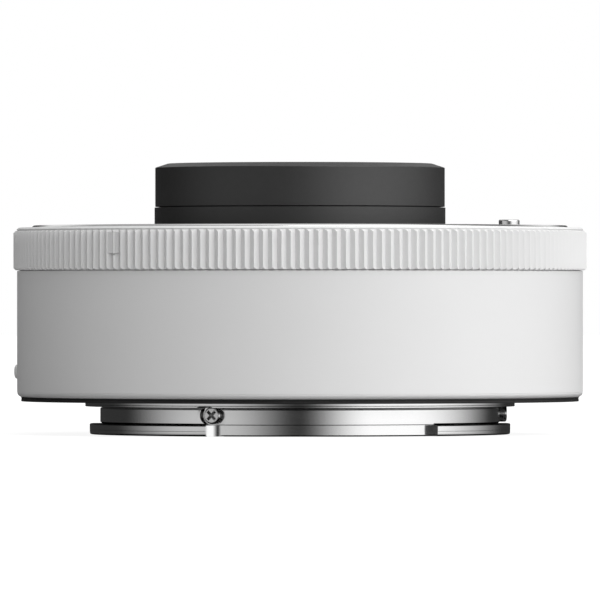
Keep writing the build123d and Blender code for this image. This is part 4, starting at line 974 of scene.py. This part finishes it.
def driver_cross(arm, half, low, high):
    """A blunt cross that tapers downwards, for cutting a driver's recess."""
    corners = []
    for quarter in range(4):
        turn = Matrix.Rotation(math.radians(45 + 90 * quarter), 2)
        corners += [tuple(turn @ Vector(point)) for point in ((arm, -half), (arm, half), (half, half))]
    shrunk = [(x * CROSS_BOTTOM_SHARE, y * CROSS_BOTTOM_SHARE) for x, y in corners]
    return prism("cross", shrunk, low, high, 1 / CROSS_BOTTOM_SHARE)


def pan_screw():
    """A pan-head screw whose head stands on the origin."""
    corners = mm(
        (0, -1.6), (0.4, -1.6), (0.5, -1.45), (0.5, 0), (0.93, 0), (0.93, 1.1), (0.91, 1.2), (0.84, 1.28),
        (0.74, 1.3), (0, 1.3),
    )
    screw = lathe("pan_screw", rounded(corners, 0.04 * MM), steps=48)
    return cut(screw, driver_cross(arm=0.65 * MM, half=0.17 * MM, low=0.5 * MM, high=1.36 * MM))


def flat_screw():
    """A flat-head screw whose face is level with the origin."""
    corners = mm((0, -4.4), (0.5, -4.4), (0.62, -4.2), (0.62, -0.68), (1.2, -0.06), (1.2, 0), (0, 0))
    screw = lathe("flat_screw", rounded(corners, 0.04 * MM), steps=40)
    return cut(screw, driver_cross(arm=0.74 * MM, half=0.2 * MM, low=-0.6 * MM, high=0.05 * MM))


def screw_set(name, slot, node, facing, height):
    """The four flat-head screws of one mount, made as two pairs that face each other."""
    pairs = []
    for start in MOUNT_SCREW_AZIMUTHS[:2]:
        screw = moved(flat_screw(), facing)
        pairs.append(
            COPIES.run(
                screw, Count=2, Radius=MOUNT_SCREW_R, Height=height, Start=start, Step=180.0,
                Seed=int(start), Material=FINISHES[slot],
            )
        )
    fit(soften(gather(name, *pairs)), "converter", slot, node)


neck_screws = COPIES.run(
    moved(pan_screw(), OUTWARDS), Count=3, Radius=NECK_SEAT, Height=NECK_SCREW_HEIGHT,
    Start=NECK_SCREW_AZIMUTHS[0], Step=120.0, Own_axis=(1.0, 0.0, 0.0), Material=FINISHES["screw_steel"],
)
neck_screws.name = "pan_head_screws"
fit(soften(neck_screws), "converter", "screw_steel", "neck_screws")
upside_down = Matrix.Rotation(math.pi, 4, "X")
screw_set("rear_flat_screws", "screw_steel", "rear_mount_screws", upside_down, FLANGE_Z)
screw_set("front_flat_screws", "screw_steel", "front_mount_screws", Matrix(), front_face)

# %% [markdown]
# ## Black hood and black ring
#
# The hood's outside is plain satin paint with a wide chamfer. Its bore has fine steps, because smooth
# walls beside a lens would throw light into it. The ring round the rear mount has one thin turned line
# half way up.

# %% Hood and rear trim ring
HOOD_R = reach("front_hood")
HOOD_BORE = 13.9 * MM
HOOD_FOOT_R = 14.95 * MM
TRAP_R = 14.15 * MM
TRAP_START = 0.3 * MM
TRAP_END = 4.2 * MM
TRAP_STEPS = 9


def hood_outline():
    """The cut through the hood's wall, with a saw-tooth bore."""
    top = high_z("front_hood")
    low = low_z("front_hood")
    corners = [
        (HOOD_BORE, low), (HOOD_FOOT_R, low), (HOOD_FOOT_R, low + MM), (HOOD_R, low + MM),
        (HOOD_R, top - 0.45 * MM), (HOOD_R - 1.37 * MM, top), (TRAP_R, top),
    ]
    trap_high, trap_low = top - TRAP_START, top - TRAP_END
    pitch = (trap_high - trap_low) / TRAP_STEPS
    for step in range(TRAP_STEPS):
        high = trap_high - pitch * step
        corners += [(HOOD_BORE, high), (HOOD_BORE, high - pitch * 0.3), (TRAP_R, high - pitch * 0.9)]
    return corners + [(HOOD_BORE, trap_low)]


hood = soften(lathe("hood_tube", rounded(hood_outline())))
fit(hood, "converter", "hood_black", "front_hood")

trim_corners = mm(
    (28.3, 3.58), (30.35, 3.58), (30.35, 3.83), (30.31, 3.85), (30.31, 3.88), (30.35, 3.9), (30.35, 4.07),
    (29.45, 4.07), (29.45, 5.3), (28.3, 5.3),
)
trim = soften(lathe("trim_band", rounded(trim_corners, 0.04 * MM)))
fit(trim, "converter", "trim_black", "rear_trim_ring")

# %% [markdown]
# ## Lock pin
#
# Three sets of pieces move, and the lock pin is the first. It has a rounded nose so that a lens can
# slide over it, a collar that its spring pushes on, and a stem that the slide pulls down by a cross pin.
# It rides on its own body.

# %% Lock pin
PIN_STEM_R = 0.55 * MM
PIN_COLLAR_R = 1.5 * MM
PIN_NOSE_R = 1.12 * MM
PIN_COLLAR_HEIGHT = 0.6 * MM
PIN_COLLAR_GAP = 0.05 * MM
CROSS_HOLE_R = 0.3 * MM


def lock_pin():
    """The lock pin, with the cross hole in its stem."""
    low, high = low_z("lock_pin"), high_z("lock_pin")
    collar = high_z("front_gasket") - PIN_COLLAR_GAP
    corners = [
        (0, low), (PIN_STEM_R - 0.05 * MM, low), (PIN_STEM_R, low + 0.08 * MM),
        (PIN_STEM_R, collar - PIN_COLLAR_HEIGHT), (PIN_COLLAR_R, collar - PIN_COLLAR_HEIGHT),
        (PIN_COLLAR_R, collar), (PIN_NOSE_R, collar), (PIN_NOSE_R, high - 0.15 * MM),
        (PIN_NOSE_R - 0.04 * MM, high - 0.06 * MM), (PIN_NOSE_R - 0.12 * MM, high), (0, high),
    ]
    pin = lathe("locking_pin", rounded(corners, 0.04 * MM), steps=64)
    cross_low, cross_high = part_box("lock_cross_pin")
    middle = Matrix.Translation((0, 0, (cross_low.z + cross_high.z) / 2))
    cut(pin, bar(CROSS_HOLE_R, -MM, MM, middle @ OUTWARDS, 24))
    return moved(pin, place(LOCK_AZIMUTH, LOCK_R))


fit(soften(lock_pin(), DOME_SHARP_ANGLE), "lock_pin", "pin_chrome", "lock_pin")

# %% [markdown]
# ## Contact pins
#
# Ten gold contacts press on the lens. Each has a domed tip and a collar that keeps it in its block. One
# is turned on the lathe, and the ring of copies sets out all ten, two millimetres apart.

# %% Contact pins
CONTACT_COUNT = 10
CONTACT_R = 18.6 * MM
CONTACT_PITCH = 2.0 * MM
CONTACT_STEP = math.degrees(CONTACT_PITCH / CONTACT_R)
CONTACT_MIDDLE = 160.0
CONTACT_STOP_DEPTH = 1.95 * MM
CONTACT_PIN_R = 0.35 * MM
CONTACT_COLLAR_R = 0.54 * MM
tip, tail = high_z("contact_pins"), low_z("contact_pins")
stop = high_z("front_contact_block") - CONTACT_STOP_DEPTH
contact = lathe(
    "contact_pin",
    rounded([
        (0, tail), (CONTACT_PIN_R, tail), (CONTACT_PIN_R, stop - 0.5 * MM),
        (CONTACT_COLLAR_R, stop - 0.5 * MM), (CONTACT_COLLAR_R, stop), (CONTACT_PIN_R, stop),
        (CONTACT_PIN_R, tip - 0.2 * MM), (0.3 * MM, tip - 0.09 * MM), (0.18 * MM, tip - 0.02 * MM),
        (0, tip),
    ], 0.02 * MM),
    steps=24,
)
contacts = COPIES.run(
    contact, Count=CONTACT_COUNT, Radius=CONTACT_R, Step=CONTACT_STEP,
    Start=CONTACT_MIDDLE - (CONTACT_COUNT - 1) / 2 * CONTACT_STEP, Material=FINISHES["contact_gold"],
)
contacts.name = "sprung_contacts"
fit(soften(contacts, DOME_SHARP_ANGLE), "contact_pins", "contact_gold", "contact_pins")

# %% [markdown]
# ## Release lever
#
# The lever is a short curved plate in the window of the grip ring, so it is one more part turn of the
# lathe, in finer steps because it is only about ten degrees wide. Its ridges are round bars, one made
# and copied along the rim by the same tree as the screws.

# %% Release lever
LEVER_WIDTH = 5.2 * MM
LEVER_BORE = 29.55 * MM
LEVER_TURN_STEPS = 1440
RIDGE_COUNT = 5
RIDGE_OUT = 0.18 * MM
LEVER_EDGE = 0.18 * MM
lever_low, lever_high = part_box("release_lever")
lever_half = math.degrees(LEVER_WIDTH / 2 / grip_crest)
lever_corners = [
    (LEVER_BORE, lever_low.z), (grip_crest, lever_low.z),
    (grip_crest, lever_high.z), (LEVER_BORE, lever_high.z),
]
lever = lathe(
    "lever_plate", rounded(lever_corners, LEVER_EDGE),
    LEVER_AZIMUTH - lever_half, 2 * lever_half, LEVER_TURN_STEPS,
)
lever_height = lever_high.z - lever_low.z
ridge = lathe("ridge", rounded([
    (0, 0.2 * MM), (0.22 * MM, 0.22 * MM), (0.3 * MM, 0.36 * MM), (0.3 * MM, lever_height - 0.36 * MM),
    (0.22 * MM, lever_height - 0.22 * MM), (0, lever_height - 0.2 * MM),
], 0.03 * MM), steps=24)
ridge_step = 2 * lever_half / RIDGE_COUNT
ridges = COPIES.run(
    ridge, Count=RIDGE_COUNT, Radius=grip_crest + RIDGE_OUT, Height=lever_low.z,
    Start=LEVER_AZIMUTH - lever_half + ridge_step / 2, Step=ridge_step, Material=FINISHES["lever_white"],
)
lever = soften(gather("finger_lever", lever, ridges), DOME_SHARP_ANGLE)
fit(lever, "release_slide", "lever_white", "release_lever")

# %% [markdown]
# ## The studio
#
# The table is plain, and it looks white because the camera sees it glow. The light that it throws back on
# the piece is weaker, so the underside stays dark as in the photo.

# %% Floor
FLOOR_SIZE = 6.0
FLOOR_GAP = 0.02 * MM
FLOOR_BOUNCE = 0.38
FLOOR_SHADE = 0.22
FLOOR_GLOW = 0.91


def make_floor():
    """A plain pale table that stays white in the picture and keeps a light shadow."""
    mesh = bmesh.new()
    bmesh.ops.create_grid(mesh, x_segments=1, y_segments=1, size=FLOOR_SIZE / 2)
    floor = new_piece("floor", mesh)
    floor.location.z = cad_box[0][2] - FLOOR_GAP
    material = bpy.data.materials.new("floor_paper")
    material.use_nodes = True
    nodes = Nodes(material.node_tree)
    nodes.tree.nodes.clear()
    ray = nodes.add("ShaderNodeLightPath")
    bounce = nodes.add("ShaderNodeBsdfDiffuse", None, {"Color": (*grey(FLOOR_BOUNCE), 1)})
    shade = nodes.add("ShaderNodeBsdfDiffuse", None, {"Color": (*grey(FLOOR_SHADE), 1)})
    glow = nodes.add("ShaderNodeEmission", None, {"Color": (1, 1, 1, 1), "Strength": FLOOR_GLOW})
    seen = nodes.add("ShaderNodeAddShader", None, {0: shade[0], 1: glow[0]})
    sockets = {0: ray["Is Camera Ray"], 1: bounce[0], 2: seen[0]}
    mixed = nodes.add("ShaderNodeMixShader", None, sockets)
    nodes.add("ShaderNodeOutputMaterial", None, {"Surface": mixed[0]})
    floor.data.materials.append(material)
    floor.visible_glossy = False
    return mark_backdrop(floor)


make_floor()
print("floor", FLOOR_SIZE, "m across")

# %% [markdown]
# ## The light
#
# The light is what models the piece: a tall soft box stands to the right, a dimmer card to the left, two
# soft panels hang higher up, and between the two sides there is a dark gap where the photographer
# stands. Chrome shows that gap as a dark band. There is light straight above too, and a last panel
# behind the piece lights the chamfers that face up. We could place area lamps, but one function of the
# direction in the world's shader gives the same light without noise, and its edges can be as soft as we
# like. The camera sees plain white.
#
# Each light below is a window: the two ends of its full strength, and the widths of the soft edges
# outside them, in degrees. A card or panel is a window along the horizon, and a band is one in height.

# %% World
GAP_LEVEL = 0.035
CARD_LEVEL, CARD = 0.63, (-60.0, -44.0, 60.0, 44.0)
BOX_LEVEL, BOX = 1.29, (42.0, 66.0, 42.0, 80.0)
HIGH_LEVEL = 0.06
LEFT_PANEL_LEVEL, LEFT_PANEL = 0.42, (-130.0, -90.0, 30.0, 30.0)
RIGHT_PANEL_LEVEL, RIGHT_PANEL = 2.6, (1.0, 61.0, 16.0, 80.0)
LOW_BAND = (-6.0, 14.0, 12.0, 20.0)
WIDE_BAND = (-6.0, 26.0, 12.0, 20.0)
HIGH_BAND = (32.0, 60.0, 20.0, 20.0)
BACK_BAND = (22.0, 60.0, 10.0, 20.0)
TOP_LEVEL = 0.9
BACK_LEVEL = 0.9


def make_world():
    """Studio light as a function of direction, behind a background that the camera sees as white."""
    world = bpy.data.worlds.new("studio")
    bpy.context.scene.world = world
    world.use_nodes = True
    nodes = Nodes(world.node_tree)
    nodes.tree.nodes.clear()
    parts = nodes.add("ShaderNodeSeparateXYZ", None, {0: nodes.add("ShaderNodeTexCoord")["Generated"]})
    azimuth = parts["X"].math("ARCTAN2", parts["Y"] * -1.0) * (1 / DEGREE)
    height = parts["Z"].math("ARCSINE") * (1 / DEGREE)
    card = GAP_LEVEL + CARD_LEVEL * nodes.window(azimuth, *CARD)
    box = BOX_LEVEL * nodes.window(azimuth, *BOX)
    left_panel = LEFT_PANEL_LEVEL * nodes.window(azimuth, *LEFT_PANEL)
    right_panel = RIGHT_PANEL_LEVEL * nodes.window(azimuth, *RIGHT_PANEL)
    panels = HIGH_LEVEL + left_panel + right_panel
    low_band = nodes.window(height, *LOW_BAND)
    wide_band = nodes.window(height, *WIDE_BAND)
    high_band = nodes.window(height, *HIGH_BAND)
    top = TOP_LEVEL * nodes.ramp(height, 55.0, 80.0)
    back = BACK_LEVEL * nodes.ramp(parts["Y"], 0.55, 0.85) * nodes.window(height, *BACK_BAND)
    strength = card * low_band + box * wide_band + panels * high_band + top + back
    ray = nodes.add("ShaderNodeLightPath")
    seen = ray["Is Camera Ray"].math("MAXIMUM", ray["Is Transmission Ray"])
    white = (1, 1, 1, 1)
    light = nodes.add("ShaderNodeBackground", None, {"Color": white, "Strength": strength})
    plain = nodes.add("ShaderNodeBackground", None, {"Color": white, "Strength": 1.0})
    mixed = nodes.add("ShaderNodeMixShader", None, {0: seen, 1: light[0], 2: plain[0]})
    nodes.add("ShaderNodeOutputWorld", None, {"Surface": mixed[0]})


make_world()
print("studio light has", len(bpy.context.scene.world.node_tree.nodes), "nodes")

# %% [markdown]
# ## The camera
#
# A product picture like this one is taken from far away with a long lens, level with the middle of the
# piece, so its upper edges curve up a little and its lower edges curve down.

# %% Camera
CAMERA_DISTANCE = 1.1
CAMERA_HEIGHT = 14.6 * MM
CAMERA_LENS = 606.0


def make_camera():
    """A long lens far away, level with the middle of the piece."""
    data = bpy.data.cameras.new("camera")
    data.lens = CAMERA_LENS
    camera = bpy.data.objects.new("camera", data)
    camera.location = (0, -CAMERA_DISTANCE, CAMERA_HEIGHT)
    camera.rotation_euler = (math.pi / 2, 0, 0)
    bpy.context.scene.collection.objects.link(camera)
    bpy.context.scene.camera = camera


make_camera()
bpy.context.scene.view_settings.view_transform = "Standard"
print("camera", CAMERA_DISTANCE, "m away")
